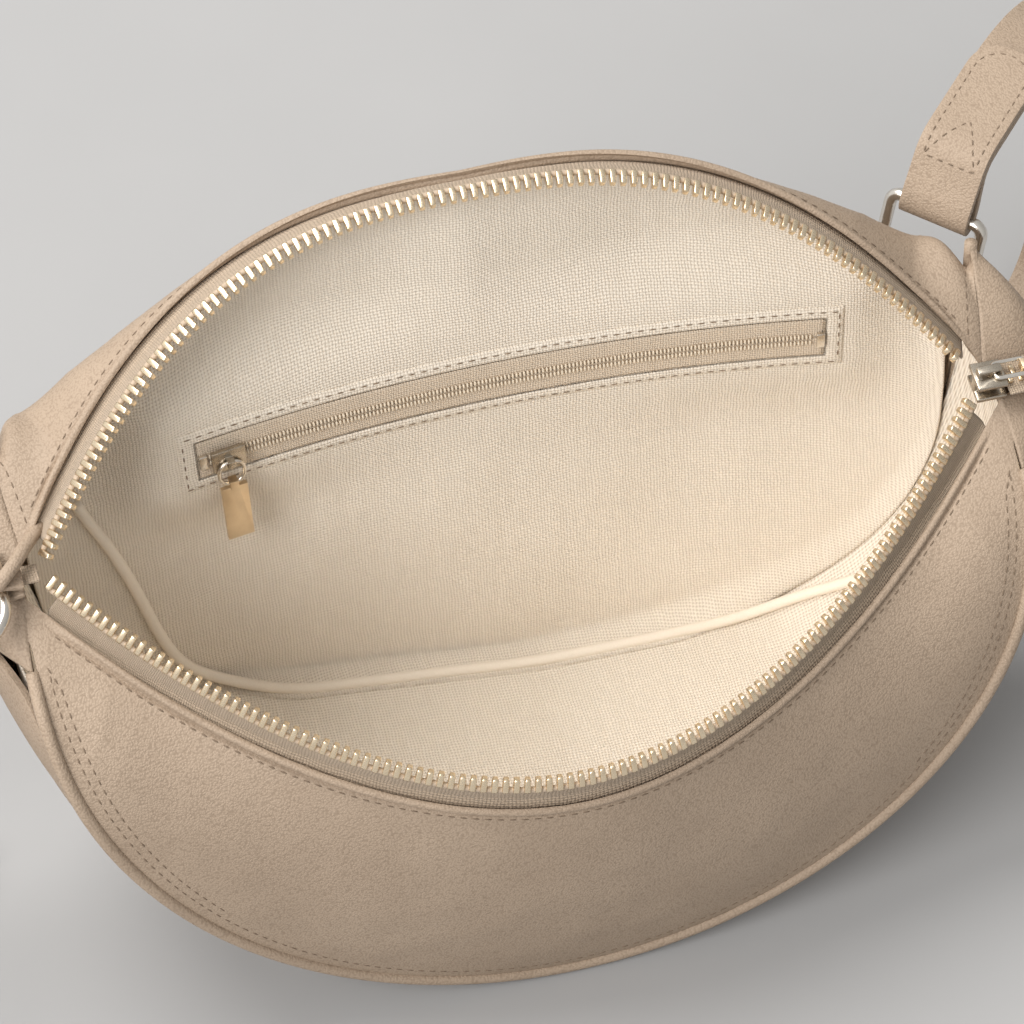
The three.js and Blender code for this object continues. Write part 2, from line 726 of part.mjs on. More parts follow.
function sliderBody() {
  const halfLong = SLIDER_LONG / 2;
  const upper = block(SLIDER_LONG, SLIDER_WIDE, SLIDER_PLATE, 0, 0, PLATE_RISE);
  const lower = block(SLIDER_LONG, SLIDER_WIDE, SLIDER_PLATE, 0, 0, -PLATE_RISE);
  const post = block(POST_LONG, BRIDGE_WIDE, SLIDER_THROAT + SLIDER_PLATE, POST_LONG / 2 - halfLong, 0, 0);
  const arch = block(BRIDGE_LONG, BRIDGE_WIDE, BRIDGE_HIGH, 0, 0, SLIDER_TOP + BRIDGE_HIGH / 2);
  const hole = block(BRIDGE_LONG - 2 * BRIDGE_LEG, BRIDGE_WIDE * 2, BRIDGE_OPEN * 2, 0, 0, SLIDER_TOP);
  const ridge = block(SLIDER_LONG, SLIDER_WIDE, BRIDGE_OPEN, 0, 0, SLIDER_TOP + BRIDGE_OPEN / 2);
  const window = hole.intersect(ridge);
  return upper.add(lower).add(post).add(arch).subtract(window);
}

const SLIDER_AT = vec(SLIDER_X, TIP_Y, TIP_Z);
addPart('main_slider', placed(fromManifold(sliderBody()), SLIDER_AT), 'nickel');

// Wire loop between a slider bridge and its pull: a closed rounded frame
function wireFrame(wide, long, round, lowRound, place) {
  const half = wide / 2;
  const points = [];
  const corner = (cx, cy, r, from) => {
    for (let k = 0; k <= 4; k += 1) {
      const turn = from + (k / 4) * Math.PI * 0.5;
      points.push(place(cx + r * Math.cos(turn), cy + r * Math.sin(turn)));
    }
  };
  corner(half - round, long - round, round, 0);
  corner(round - half, long - round, round, Math.PI * 0.5);
  corner(lowRound - half, lowRound, lowRound, Math.PI);
  corner(half - lowRound, lowRound, lowRound, Math.PI * 1.5);
  return points;
}

const PIVOT_X = SLIDER_X + BRIDGE_LONG / 2 - BRIDGE_LEG - LINK_WIRE - GAP / 2;
const MAIN_PIVOT = vec(PIVOT_X, TIP_Y, TIP_Z + SLIDER_TOP + BRIDGE_OPEN / 2);
const LINK_ROUND = 1.2;
const LINK_RADIUS = LINK_WIRE * 0.8;
const mainLink = wireFrame(LINK_WIDE, LINK_LONG, LINK_ROUND, LINK_ROUND, (w, l) => (
  MAIN_PIVOT.clone().add(vec(l, w, 0))
));
addPart('main_pull_link', tube(mainLink, LINK_RADIUS, CORD_SIDES, true, vec(0, 0, 1)), 'nickel');

// Flat pull tab with a barrel that turns on the bar of its link; the bar lies along Y at the origin
const BARREL_WALL = 0.4;
const BORE_SIDES = 12;
function pullTab(long, wide, wire, barrelWide) {
  const bore = wire + GAP;
  const size = 2 * (bore + BARREL_WALL);
  const barrel = block(size, barrelWide, size, 0, 0, 0);
  const start = bore + GAP / 2;
  const body = block(long, wide, PULL_THICK, start + long / 2, 0, 0);
  const hole = shapeBody(rod(bore, wide * 2, BORE_SIDES));
  return barrel.add(body).subtract(hole);
}

const MAIN_BAR = MAIN_PIVOT.clone().add(vec(LINK_LONG, 0, 0));
const MAIN_BARREL = LINK_WIDE - 2 * LINK_WIRE - 2 * GAP;
const mainPull = pullTab(PULL_LONG, MAIN_PULL_WIDE, LINK_RADIUS, MAIN_BARREL);
addPart('main_pull', placed(fromManifold(mainPull), MAIN_BAR), 'brass');

// Closed tail of the chain and the leather tab that holds it
const tailTape = block(TAIL_LONG, TAIL_WIDE, TAPE, TAIL_X + TAIL_LONG / 2, TIP_Y, TIP_Z);
addPart('tail_tape', fromManifold(tailTape), 'tape');
const TAB_IN = 5;
const CHAIN_START = 0.4;
const CHAIN_LIFT = 0.05;
const CHAIN_TEETH = Math.floor((TAIL_LONG - TAB_IN) / (TOOTH_PITCH / 2));
const chainPlace = (i, j, side) => {
  const half = TOOTH_PITCH / 4;
  const x = TAIL_X + CHAIN_START + i * half;
  const y = TIP_Y + mix(-CHAIN_WIDE / 2, CHAIN_WIDE / 2, j / 3);
  return vec(x, y, TIP_Z + TAPE / 2 + CHAIN_LIFT + side * CHAIN_HIGH);
};
const chainFilled = (i, j) => j === 1 || (j === 0 ? i % 4 < 2 : i % 4 >= 2);
addPart('tail_chain', cellPlate(CHAIN_TEETH * 2, 3, chainFilled, chainPlace), 'brass');

// Ribbon of constant thickness along a plane path
function ribbon(path, widthAt, widthDir, thickness, place) {
  const outer = [];
  const inner = [];
  path.forEach((p, i) => {
    const next = path[Math.min(i + 1, path.length - 1)];
    const last = path[Math.max(i - 1, 0)];
    const run = [next[0] - last[0], next[1] - last[1]];
    const size = Math.hypot(...run);
    const normal = [-run[1] / size, run[0] / size];
    const half = widthAt(i) / 2;
    const edge = (side) => {
      const off = (side * thickness) / 2;
      const spot = place(p[0] + normal[0] * off, p[1] + normal[1] * off);
      return [spot.clone().addScaledVector(widthDir, -half), spot.clone().addScaledVector(widthDir, half)];
    };
    outer.push(edge(1));
    inner.push(edge(-1));
  });
  return sheet(outer, inner);
}

function arcPath(centre, radius, from, to, steps) {
  const points = [];
  for (let k = 0; k <= steps; k += 1) {
    const turn = mix(from, to, k / steps);
    points.push([centre[0] + radius * Math.cos(turn), centre[1] + radius * Math.sin(turn)]);
  }
  return points;
}

// End tab: leather folded round the closed end of the zip
const TAB_RISE = TAPE / 2 + GAP + LOOP_THICK / 2;
const TAB_REACH = TAIL_LONG + GAP;
const endTabPath = [
  [TAB_REACH - TAB_IN, TAB_RISE],
  ...arcPath([TAB_REACH, 0], TAB_RISE, Math.PI / 2, -Math.PI / 2, 8),
  [TAB_REACH - TAB_IN, -TAB_RISE],
  [TAIL_LONG / 2, -TAB_RISE],
];
const onTail = (o, z) => vec(TAIL_X + o, TIP_Y, TIP_Z + z);
addPart('right_end_tab', ribbon(endTabPath, () => END_TAB_WIDE, vec(0, 1, 0), LOOP_THICK, onTail), 'leather');
const HEAD_CLEAR = 2.5;
const HEAD_X = MOUTH_HALF * STRINGER_LEFT + HEAD_CLEAR;
const HEAD_LONG = 7;
const HEAD_GRIP = 2;
const headTape = block(HEAD_LONG, TAIL_WIDE, TAPE, -HEAD_X - HEAD_LONG / 2, TIP_Y, TIP_Z);
addPart('head_tape', fromManifold(headTape), 'tape');

// Pocket patch: a leaning bowed surface in front of the back lining
const POCKET_MID = (POCKET_LEFT + POCKET_RIGHT) / 2;
function bowedPoint(along, up, lift, seat) {
  const turn = (along - POCKET_MID) / POCKET_BOW_RADIUS;
  const radius = POCKET_BOW_RADIUS + up * Math.sin(POCKET_LEAN) - lift * Math.cos(POCKET_LEAN);
  const z = POCKET_Z + up * Math.cos(POCKET_LEAN) + lift * Math.sin(POCKET_LEAN);
  return vec(POCKET_MID + radius * Math.sin(turn), seat - POCKET_BOW_RADIUS + radius * Math.cos(turn), z);
}

// Inner face of the back lining straight behind a point
function liningBehind(x, z) {
  let share = 0.5 + x / (4 * MOUTH_HALF);
  let depth = 0.4;
  const step = 0.01;
  const at = (a, d) => wallPoint(BACK, a, d).addScaledVector(wallNormal(BACK, a, d), -LINING_OUT - LINING);
  for (let k = 0; k < 40; k += 1) {
    const here = at(share, depth);
    const bySide = at(share + step, depth).sub(here).divideScalar(step);
    const byDepth = at(share, depth + step).sub(here).divideScalar(step);
    const size = bySide.x * byDepth.z - bySide.z * byDepth.x;
    const gapX = x - here.x;
    const gapZ = z - here.z;
    share += THREE.MathUtils.clamp((gapX * byDepth.z - gapZ * byDepth.x) / size, -0.05, 0.05);
    depth += THREE.MathUtils.clamp((bySide.x * gapZ - bySide.z * gapX) / size, -0.05, 0.05);
    share = THREE.MathUtils.clamp(share, 0.03, 0.97);
    depth = THREE.MathUtils.clamp(depth, 0.02, 0.95);
  }
  return at(share, depth).y;
}

let pocketSeat = Infinity;
for (let i = 0; i <= 12; i += 1) {
  for (const up of [-POCKET_FRAME_HIGH / 2, 0, POCKET_FRAME_HIGH / 2]) {
    const along = mix(POCKET_LEFT, POCKET_RIGHT, i / 12);
    const spot = bowedPoint(along, up, 0, 0);
    pocketSeat = Math.min(pocketSeat, liningBehind(spot.x, spot.z) - spot.y - 3 * GAP);
  }
}

const FRAME_COLS = POCKET_STEPS + 2;
function frameAlong(i) {
  if (i === 0) return POCKET_LEFT;
  if (i === FRAME_COLS) return POCKET_RIGHT;
  return mix(POCKET_LEFT + POCKET_FRAME_END, POCKET_RIGHT - POCKET_FRAME_END, (i - 1) / POCKET_STEPS);
}

const FRAME_HALF = POCKET_FRAME_HIGH / 2;
const WINDOW_HALF = POCKET_WINDOW_HIGH / 2;
const frameUp = [-FRAME_HALF, -WINDOW_HALF, WINDOW_HALF, FRAME_HALF];
const WELT_THICK = 1;
const onFrame = (i, j) => j !== 1 || i === 0 || i === FRAME_COLS - 1;
const framePlate = cellPlate(FRAME_COLS, 3, onFrame, (i, j, side) => (
  bowedPoint(frameAlong(i), frameUp[j], side * WELT_THICK, pocketSeat)
));
addPart('pocket_welt', framePlate, 'lining');

const WINDOW_LEFT = POCKET_LEFT + POCKET_FRAME_END + GAP;
const WINDOW_RIGHT = POCKET_RIGHT - POCKET_FRAME_END - GAP;
function bowedStrip(left, right, low, high, from, to) {
  return cellPlate(POCKET_STEPS, 1, () => true, (i, j, side) => (
    bowedPoint(mix(left, right, i / POCKET_STEPS), j === 0 ? low : high, side === 0 ? from : to, pocketSeat)
  ));
}

const TAPE_EDGE = POCKET_WINDOW_HIGH / 2 - GAP;
const COIL_LIFT = TAPE + 0.1;
const COIL_TOP = COIL_LIFT + 1;
addPart('pocket_tape_upper', bowedStrip(WINDOW_LEFT, WINDOW_RIGHT, GAP / 2, TAPE_EDGE, 0, TAPE), 'tape');
addPart('pocket_tape_lower', bowedStrip(WINDOW_LEFT, WINDOW_RIGHT, -TAPE_EDGE, -GAP / 2, 0, TAPE), 'tape');
const STOP_LONG = 2;
const STOP_OVER = 0.6;
const STOP_TOP = COIL_TOP + 0.2;
const COIL_LEFT = WINDOW_LEFT + STOP_LONG + GAP;
const COIL_RIGHT = WINDOW_RIGHT - STOP_LONG - GAP;
const COIL_MID = GAP / 2;
const COIL_EDGE = COIL_MID + POCKET_COIL_WIDE;
const coilStrip = (low, high) => bowedStrip(COIL_LEFT, COIL_RIGHT, low, high, COIL_LIFT, COIL_TOP);
addPart('pocket_coil_upper', coilStrip(COIL_MID, COIL_EDGE), 'coil');
addPart('pocket_coil_lower', coilStrip(-COIL_EDGE, -COIL_MID), 'coil');
function pocketStop(left) {
  const wide = POCKET_COIL_WIDE + STOP_OVER;
  return cellPlate(1, 1, () => true, (i, j, side) => (
    bowedPoint(left + i * STOP_LONG, j === 0 ? -wide : wide, side === 0 ? COIL_LIFT : STOP_TOP, pocketSeat)
  ));
}
addPart('pocket_left_stop', pocketStop(WINDOW_LEFT), 'nickel');
addPart('pocket_right_stop', pocketStop(WINDOW_RIGHT - STOP_LONG), 'nickel');

// Pocket slider: the upper half of a slider with a lug for its link, seen on the chain
const POCKET_SLIDER_LONG = 8.5;
const POCKET_SLIDER_WIDE = 6.4;
const LUG_LONG = 1.8;
const SLIDER_FROM_STOP = 0.4;
const SLIDER_LIFT = 0.45;
const POCKET_SLIDER_AT = COIL_LEFT + POCKET_SLIDER_LONG / 2 + SLIDER_FROM_STOP;
const SLIDER_BASE = COIL_TOP + SLIDER_LIFT;
const POCKET_TURN = (POCKET_SLIDER_AT - POCKET_MID) / POCKET_BOW_RADIUS;
function onPocket(geometry) {
  const spot = bowedPoint(POCKET_SLIDER_AT, 0, 0, pocketSeat);
  return placed(geometry.rotateX(Math.PI / 2 - POCKET_LEAN).rotateZ(-POCKET_TURN), spot);
}

const plateMid = SLIDER_BASE + SLIDER_PLATE / 2;
const sliderPlate = block(POCKET_SLIDER_LONG, POCKET_SLIDER_WIDE, SLIDER_PLATE, 0, 0, plateMid);
const crownBase = SLIDER_BASE + SLIDER_PLATE;
const crown = block(LUG_LONG, BRIDGE_WIDE, BRIDGE_HIGH, 0, 0, crownBase + BRIDGE_HIGH / 2);
const crownHole = block(2 * LUG_LONG, BRIDGE_OPEN, BRIDGE_OPEN, 0, 0, crownBase + BRIDGE_OPEN / 2);
const pocketSlider = fromManifold(sliderPlate.add(crown).subtract(crownHole));
addPart('pocket_slider', onPocket(pocketSlider), 'nickel');

// Wire link through the lug and the flat pull that hangs from it
const POCKET_PIVOT_Z = crownBase + BRIDGE_OPEN / 2;
const POCKET_LINK_WIRE = 0.5;
const POCKET_LINK_LONG = 7;
const POCKET_LINK_WIDE = LUG_LONG + 2 * POCKET_LINK_WIRE + 2 * GAP;
const POCKET_LINK_ROUND = 0.8;
const linkPlace = (w, l) => vec(w, -l, POCKET_PIVOT_Z);
const linkRound = POCKET_LINK_ROUND;
const linkPath = wireFrame(POCKET_LINK_WIDE, POCKET_LINK_LONG, linkRound, linkRound, linkPlace);
const pocketLink = tube(linkPath, POCKET_LINK_WIRE, CORD_SIDES, true, vec(0, 0, 1));
addPart('pocket_pull_link', onPocket(pocketLink), 'nickel');
const POCKET_PULL_LONG = 17;
const POCKET_BARREL = POCKET_LINK_WIDE - 2 * POCKET_LINK_WIRE - GAP;
const pocketTab = fromManifold(pullTab(POCKET_PULL_LONG, PULL_WIDE, POCKET_LINK_WIRE, POCKET_BARREL));
const pocketHang = placed(pocketTab.rotateZ(-Math.PI / 2), vec(0, -POCKET_LINK_LONG, POCKET_PIVOT_Z));
addPart('pocket_pull', onPocket(pocketHang), 'brass');

// Rings: bar centre, bar direction and the direction from the loop to the strap bar
function ringGeometry(centre, bar, rise) {
  const points = wireFrame(RING_WIDE, RING_LONG, RING_TOP_ROUND, RING_LOW_ROUND, (w, l) => (
    centre.clone().addScaledVector(bar, w).addScaledVector(rise, l)
  ));
  return tube(points, WIRE_RADIUS, WIRE_SIDES, true, bar.clone().cross(rise));
}

// Leather loop round the lower bar, its legs lying down the bag
function ringLoop(centre, bar, down, out) {
  const near = WIRE_RADIUS + WIRE_CLEAR + LOOP_THICK / 2;
  const path = [
    [LOOP_LEG, -near + LOOP_THICK + GAP],
    [LOOP_LEG * 0.7, -near + LOOP_THICK + GAP + 0.6],
    [LOOP_LEG * 0.3, near * 0.75],
    ...arcPath([0, 0], near, Math.PI / 2, Math.PI * 1.5, 8),
    [LOOP_LEG, -near],
  ];
  const place = (d, n) => centre.clone().addScaledVector(down, d).addScaledVector(out, n);
  return ribbon(path, () => LOOP_WIDE, bar, LOOP_THICK, place);
}

// Strap path in the plane of the outward and upward directions, from the tab tip on. The two layers
// leave the ring bar at one angle and turn to another.
function strapPath(start, rise, bend, drop) {
  const near = WIRE_RADIUS + STRAP_CLEAR + LEATHER / 2;
  const close = LEATHER / 2 + GAP / 2;
  const turnFrom = STRAP_PINCH;
  const turnLong = STRAP_TURN_RADIUS * (start - rise);
  const middle = (t) => {
    const straight = Math.min(t, turnFrom);
    const turned = THREE.MathUtils.clamp(t - turnFrom, 0, turnLong);
    const angle = start - turned / STRAP_TURN_RADIUS;
    const after = Math.max(t - turnFrom - turnLong, 0);
    const out = straight * Math.cos(start) + STRAP_TURN_RADIUS * (Math.sin(start) - Math.sin(angle));
    const up = straight * Math.sin(start) + STRAP_TURN_RADIUS * (Math.cos(angle) - Math.cos(start));
    return { out: out + after * Math.cos(rise), up: up + after * Math.sin(rise), angle };
  };
  const spot = (t, n) => {
    const { out, up, angle } = middle(t);
    return [out - Math.sin(angle) * n, up + Math.cos(angle) * n];
  };
  const layer = [STRAP_PINCH];
  for (let k = 1; k <= TURN_STEPS; k += 1) layer.push(turnFrom + (turnLong * k) / TURN_STEPS + k * GAP);
  const opening = [[0.6, 0.45], [0.3, 0.9]];
  const pinch = opening.map(([along, open]) => [STRAP_PINCH * along, mix(close, near, open)]);
  const path = [];
  for (let k = 0; k <= ROUND_STEPS; k += 1) {
    const round = 1 - Math.cos((k / ROUND_STEPS) * Math.PI * 0.5);
    path.push(spot(TAB_LONG - TAB_ROUND * round, close));
  }
  path.push(...layer.toReversed().map((t) => spot(t, close)));
  path.push(...pinch.map(([t, n]) => spot(t, n)));
  path.push(...arcPath([0, 0], near, start + Math.PI / 2, start + Math.PI * 1.5, 8));
  path.push(...pinch.toReversed().map(([t, n]) => spot(t, -n)));
  path.push(...layer.map((t) => spot(t, -close)));
  path.push(spot(TAB_LONG + STRAP_RUN, -close));
  const crest = spot(TAB_LONG + STRAP_RUN, -close - bend);
  const over = arcPath(crest, bend, rise + Math.PI / 2, 0, 9);
  path.push(...over.slice(1));
  const fallX = crest[0] + bend;
  const foot = [fallX - STRAP_FOOT_BEND, -drop + LEATHER / 2 + GAP + STRAP_FOOT_BEND];
  path.push([fallX, mix(crest[1], foot[1], 0.5)]);
  path.push(...arcPath(foot, STRAP_FOOT_BEND, 0, -Math.PI / 2, 7));
  const flat = [foot[0], foot[1] - STRAP_FOOT_BEND];
  return { path, flat };
}

const upDir = vec(0, 0, 1);

// Right ring behind the back panel
const rightSpot = wallPoint(BACK, RIGHT_RING_SHARE, RIGHT_RING_DEPTH);
const rightOut = wallNormal(BACK, RIGHT_RING_SHARE, RIGHT_RING_DEPTH);
const rightBar = vec(Math.cos(RIGHT_RING_TURN), -Math.sin(RIGHT_RING_TURN), 0);
const rightAway = vec(-rightBar.y, rightBar.x, 0);
const rightFace = rightOut.clone().addScaledVector(rightBar, -rightOut.dot(rightBar)).normalize();
const rightDown = rightBar.clone().cross(rightFace).normalize();
if (rightDown.z > 0) rightDown.negate();
const LOOP_STAND = WIRE_RADIUS + WIRE_CLEAR + LOOP_THICK + LOOP_SEAT;
const rightCentre = rightSpot.clone().addScaledVector(rightFace, LOOP_STAND);
const leaning = (away, angle) => (
  away.clone().multiplyScalar(Math.cos(angle)).addScaledVector(upDir, Math.sin(angle))
);
const rightRise = leaning(rightAway, RIGHT_RING_RISE);
addPart('right_ring', ringGeometry(rightCentre, rightBar, rightRise), 'nickel');
addPart('right_ring_loop', ringLoop(rightCentre, rightBar, rightDown, rightFace), 'leather');

// Left ring in a loop that grips the left end of the zip
const leftBar = vec(0, 1, 0);
const leftAway = vec(-1, 0, 0);
const leftCentre = vec(-HEAD_X - HEAD_LONG - WIRE_RADIUS - 2 * GAP, TIP_Y - LEFT_RING_SHIFT, TIP_Z);
const leftRise = leaning(leftAway, LEFT_RING_RISE);
addPart('left_ring', ringGeometry(leftCentre, leftBar, leftRise), 'nickel');
const gripNear = WIRE_RADIUS + WIRE_CLEAR + LOOP_THICK / 2;
const gripClose = TAPE / 2 + GAP + LOOP_THICK / 2;
const gripPath = [
  [HEAD_LONG + HEAD_GRIP, gripClose],
  [HEAD_LONG * 0.6, mix(gripClose, gripNear, 0.35)],
  ...arcPath([0, 0], gripNear, Math.PI / 2, Math.PI * 1.5, 8),
  [HEAD_LONG * 0.6, -mix(gripClose, gripNear, 0.35)],
  [HEAD_LONG + HEAD_GRIP, -gripClose],
];
const onHead = (o, z) => leftCentre.clone().add(vec(o, 0, z));
addPart('left_ring_loop', ribbon(gripPath, () => LOOP_WIDE, leftBar, LOOP_THICK, onHead), 'leather');

// Straps
const rightHold = rightCentre.clone().addScaledVector(rightRise, RING_LONG);
const rightPlan = strapPath(RIGHT_STRAP_START, RIGHT_STRAP_RISE, RIGHT_STRAP_BEND, rightHold.z);
const rightPlace = (o, z) => rightHold.clone().addScaledVector(rightAway, o).addScaledVector(upDir, z);
const tipSteps = [0.35, 0.65, 0.85, 1];
const rightPath = [...rightPlan.path];
const [rightFlat, rightLow] = rightPlan.flat;
const tipFrom = rightFlat - STRAP_END + STRAP_TIP;
rightPath.push([mix(rightFlat, tipFrom, 0.5), rightLow], [tipFrom, rightLow]);
const rightTipStart = rightPath.length - 1;
rightPath.push(...tipSteps.map((share) => [tipFrom - STRAP_TIP * share, rightLow]));
const tabWidths = [0.42, 0.72, 0.9, 0.98, 1];
const tipWidths = [1, 0.88, 0.66, 0.42, 0.16];
function rightWidth(i) {
  if (i < tabWidths.length) return STRAP_WIDE * tabWidths[i];
  if (i >= rightTipStart) return STRAP_WIDE * tipWidths[i - rightTipStart];
  return STRAP_WIDE;
}
let rightStrap = toManifold(ribbon(rightPath, rightWidth, rightBar, LEATHER, rightPlace));
for (let k = 0; k < HOLE_COUNT; k += 1) {
  const spot = rightPlace(tipFrom + HOLE_START + k * HOLE_PITCH, rightLow);
  const drill = rod(HOLE_RADIUS, LEATHER * 4, HOLE_SIDES).rotateX(Math.PI / 2);
  rightStrap = rightStrap.subtract(shapeBody(placed(drill, spot)));
}
addPart('right_strap', fromManifold(rightStrap), 'leather');

const leftHold = leftCentre.clone().addScaledVector(leftRise, RING_LONG);
const leftPlan = strapPath(LEFT_STRAP_RISE, LEFT_STRAP_RISE, LEFT_STRAP_BEND, leftHold.z - KEEPER_STAND);
const leftPlace = (o, z) => leftHold.clone().addScaledVector(leftAway, o).addScaledVector(upDir, z);
const LEFT_RUN = STRAP_END - BUCKLE_SHORT;
const barAt = [leftPlan.flat[0] - LEFT_RUN, leftPlan.flat[1] + BUCKLE_WIRE + WIRE_CLEAR + LEATHER / 2];
const foldNear = BUCKLE_WIRE + WIRE_CLEAR + LEATHER / 2;
const leftPath = [...leftPlan.path];
leftPath.push([leftPlan.flat[0] - LEFT_RUN * 0.5, leftPlan.flat[1]]);
leftPath.push(...arcPath(barAt, foldNear, -Math.PI / 2, -Math.PI * 1.5, 8));
leftPath.push([barAt[0] + BUCKLE_FOLD * 0.35, barAt[1] + foldNear * 0.85]);
leftPath.push([barAt[0] + BUCKLE_FOLD * 0.65, barAt[1] - foldNear + LEATHER + GAP + 0.4]);
leftPath.push([barAt[0] + BUCKLE_FOLD, barAt[1] - foldNear + LEATHER + GAP]);
const leftWidth = (i) => (i < tabWidths.length ? STRAP_WIDE * tabWidths[i] : STRAP_WIDE);
let leftStrap = toManifold(ribbon(leftPath, leftWidth, leftBar, LEATHER, leftPlace));
const barSpot = leftPlace(...barAt);
const SLOT_WIDE = PRONG_WIDE + 2 * PRONG_SIDE;
const SLOT_BACK = BUCKLE_WIRE + WIRE_CLEAR + PRONG_THICK + 1;
const SLOT_FORE = foldNear + LEATHER;
const slotX = barSpot.x + (SLOT_FORE - SLOT_BACK) / 2;
const slot = block(SLOT_BACK + SLOT_FORE, SLOT_WIDE, foldNear * 4, slotX, barSpot.y, barSpot.z);
leftStrap = leftStrap.subtract(slot);
addPart('left_strap', fromManifold(leftStrap), 'leather');

// Pin buckle
const buckleFrame = wireFrame(BUCKLE_WIDE, BUCKLE_LONG, BUCKLE_ROUND, BUCKLE_BAR_ROUND, (w, l) => (
  barSpot.clone().add(vec(l, w, 0))
));
addPart('buckle_frame', tube(buckleFrame, BUCKLE_WIRE, WIRE_SIDES, true, upDir), 'nickel');
const prongNear = BUCKLE_WIRE + WIRE_CLEAR + PRONG_THICK / 2;
const prongEnd = BUCKLE_LONG + BUCKLE_WIRE + PRONG_OVER;
const prongPath = [
  ...arcPath([0, 0], prongNear, -Math.PI * 0.62, -Math.PI * 1.5, 9),
  [prongEnd * 0.5, prongNear],
  [prongEnd, prongNear],
];
const prongPlace = (o, z) => barSpot.clone().add(vec(o, 0, z));
addPart('buckle_prong', ribbon(prongPath, () => PRONG_WIDE, vec(0, 1, 0), PRONG_THICK, prongPlace), 'nickel');

// Keeper: a leather band round the left strap near the fold
const keeperAt = leftPlace(barAt[0] + BUCKLE_FOLD + KEEPER_WIDE, leftPlan.flat[1]);
const keepHigh = LEATHER * 2 + 2 * KEEPER_CLEAR;
const keepWide = STRAP_WIDE + 2 * KEEPER_CLEAR;
const keepMid = keeperAt.z - LEATHER / 2 - KEEPER_CLEAR + keepHigh / 2;
const keepOuter = block(KEEPER_WIDE, keepWide + 2 * KEEPER_THICK, keepHigh + 2 * KEEPER_THICK, 0, 0, 0);
const keepInner = block(2 * KEEPER_WIDE, keepWide, keepHigh, 0, 0, 0);
const keeper = fromManifold(keepOuter.subtract(keepInner));
addPart('strap_keeper', placed(keeper, vec(keeperAt.x, keeperAt.y, keepMid)), 'leather');

export default group;
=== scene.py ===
# %% [markdown]
# # An open half-moon belt bag
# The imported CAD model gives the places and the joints. Every leather, lining and tape solid is plain
# there, so this lesson dresses the bag: smooth lofted skins for the soft parts, real zip teeth, thread
# and rings.

# %% Load the frame
import json
import math

import bmesh
import bpy
import numpy as np
from mathutils import Matrix, Vector, noise

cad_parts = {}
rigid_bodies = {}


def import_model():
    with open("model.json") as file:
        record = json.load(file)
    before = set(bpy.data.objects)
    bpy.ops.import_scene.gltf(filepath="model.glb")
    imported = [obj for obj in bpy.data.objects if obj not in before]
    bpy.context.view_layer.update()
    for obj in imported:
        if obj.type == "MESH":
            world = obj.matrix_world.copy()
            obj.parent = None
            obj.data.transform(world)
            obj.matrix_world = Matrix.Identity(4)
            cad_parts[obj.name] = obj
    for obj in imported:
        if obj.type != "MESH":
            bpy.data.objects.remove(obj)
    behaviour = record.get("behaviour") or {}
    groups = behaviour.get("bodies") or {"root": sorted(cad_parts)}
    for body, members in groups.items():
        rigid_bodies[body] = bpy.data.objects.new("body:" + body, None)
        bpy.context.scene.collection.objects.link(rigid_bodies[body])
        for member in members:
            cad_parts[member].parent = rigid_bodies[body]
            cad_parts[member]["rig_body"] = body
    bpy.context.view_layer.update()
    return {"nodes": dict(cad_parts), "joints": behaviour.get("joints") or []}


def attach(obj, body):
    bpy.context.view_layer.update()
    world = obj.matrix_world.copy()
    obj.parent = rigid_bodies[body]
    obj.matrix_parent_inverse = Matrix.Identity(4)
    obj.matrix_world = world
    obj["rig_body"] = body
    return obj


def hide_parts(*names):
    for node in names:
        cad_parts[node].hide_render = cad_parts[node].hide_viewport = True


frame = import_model()
MM = 0.001
JOINTS = {j["name"]: j for j in frame["joints"]}

# %% [markdown]
# ## Camera
# The bag is seen from above, a little to its left, with a long lens that keeps the mouth's curve calm.
# A small shift puts the middle of the mouth where the picture has it, so the lens itself stays level.

# %% Camera
LOOK_AT = Vector((0, 0.014, 0.119))
CAMERA_TURN = math.radians(-14.2)
CAMERA_RISE = math.radians(53)
CAMERA_FAR = 1.0
IMAGE_SIDE = 1024
FOCAL_PIXELS = 4260
SHIFT_PIXELS = (-5, -36)
SENSOR = 36
view_back = Vector((
    math.sin(CAMERA_TURN) * math.cos(CAMERA_RISE),
    -math.cos(CAMERA_TURN) * math.cos(CAMERA_RISE),
    math.sin(CAMERA_RISE),
))
lens_data = bpy.data.cameras.new("camera")
lens_data.sensor_width = SENSOR
lens_data.lens = FOCAL_PIXELS / IMAGE_SIDE * SENSOR
lens_data.shift_x, lens_data.shift_y = SHIFT_PIXELS[0] / IMAGE_SIDE, SHIFT_PIXELS[1] / IMAGE_SIDE
camera = bpy.data.objects.new("camera", lens_data)
camera.location = LOOK_AT + view_back * CAMERA_FAR
camera.rotation_mode = "QUATERNION"
camera.rotation_quaternion = (-view_back).to_track_quat("-Z", "Y")
bpy.context.scene.collection.objects.link(camera)
bpy.context.scene.camera = camera
print("camera at", [round(v, 3) for v in camera.location], "lens", round(lens_data.lens, 1))

# %% [markdown]
# ## Light and floor
# The bag stands in a calm studio: a plain floor, two broad lamps at the left, and a world that fills
# the shadows. An area lamp is a disk of light, so a large one gives the soft shadow at the lower right.
# The world could have one even strength, but here it falls from left to right, as beside a window.

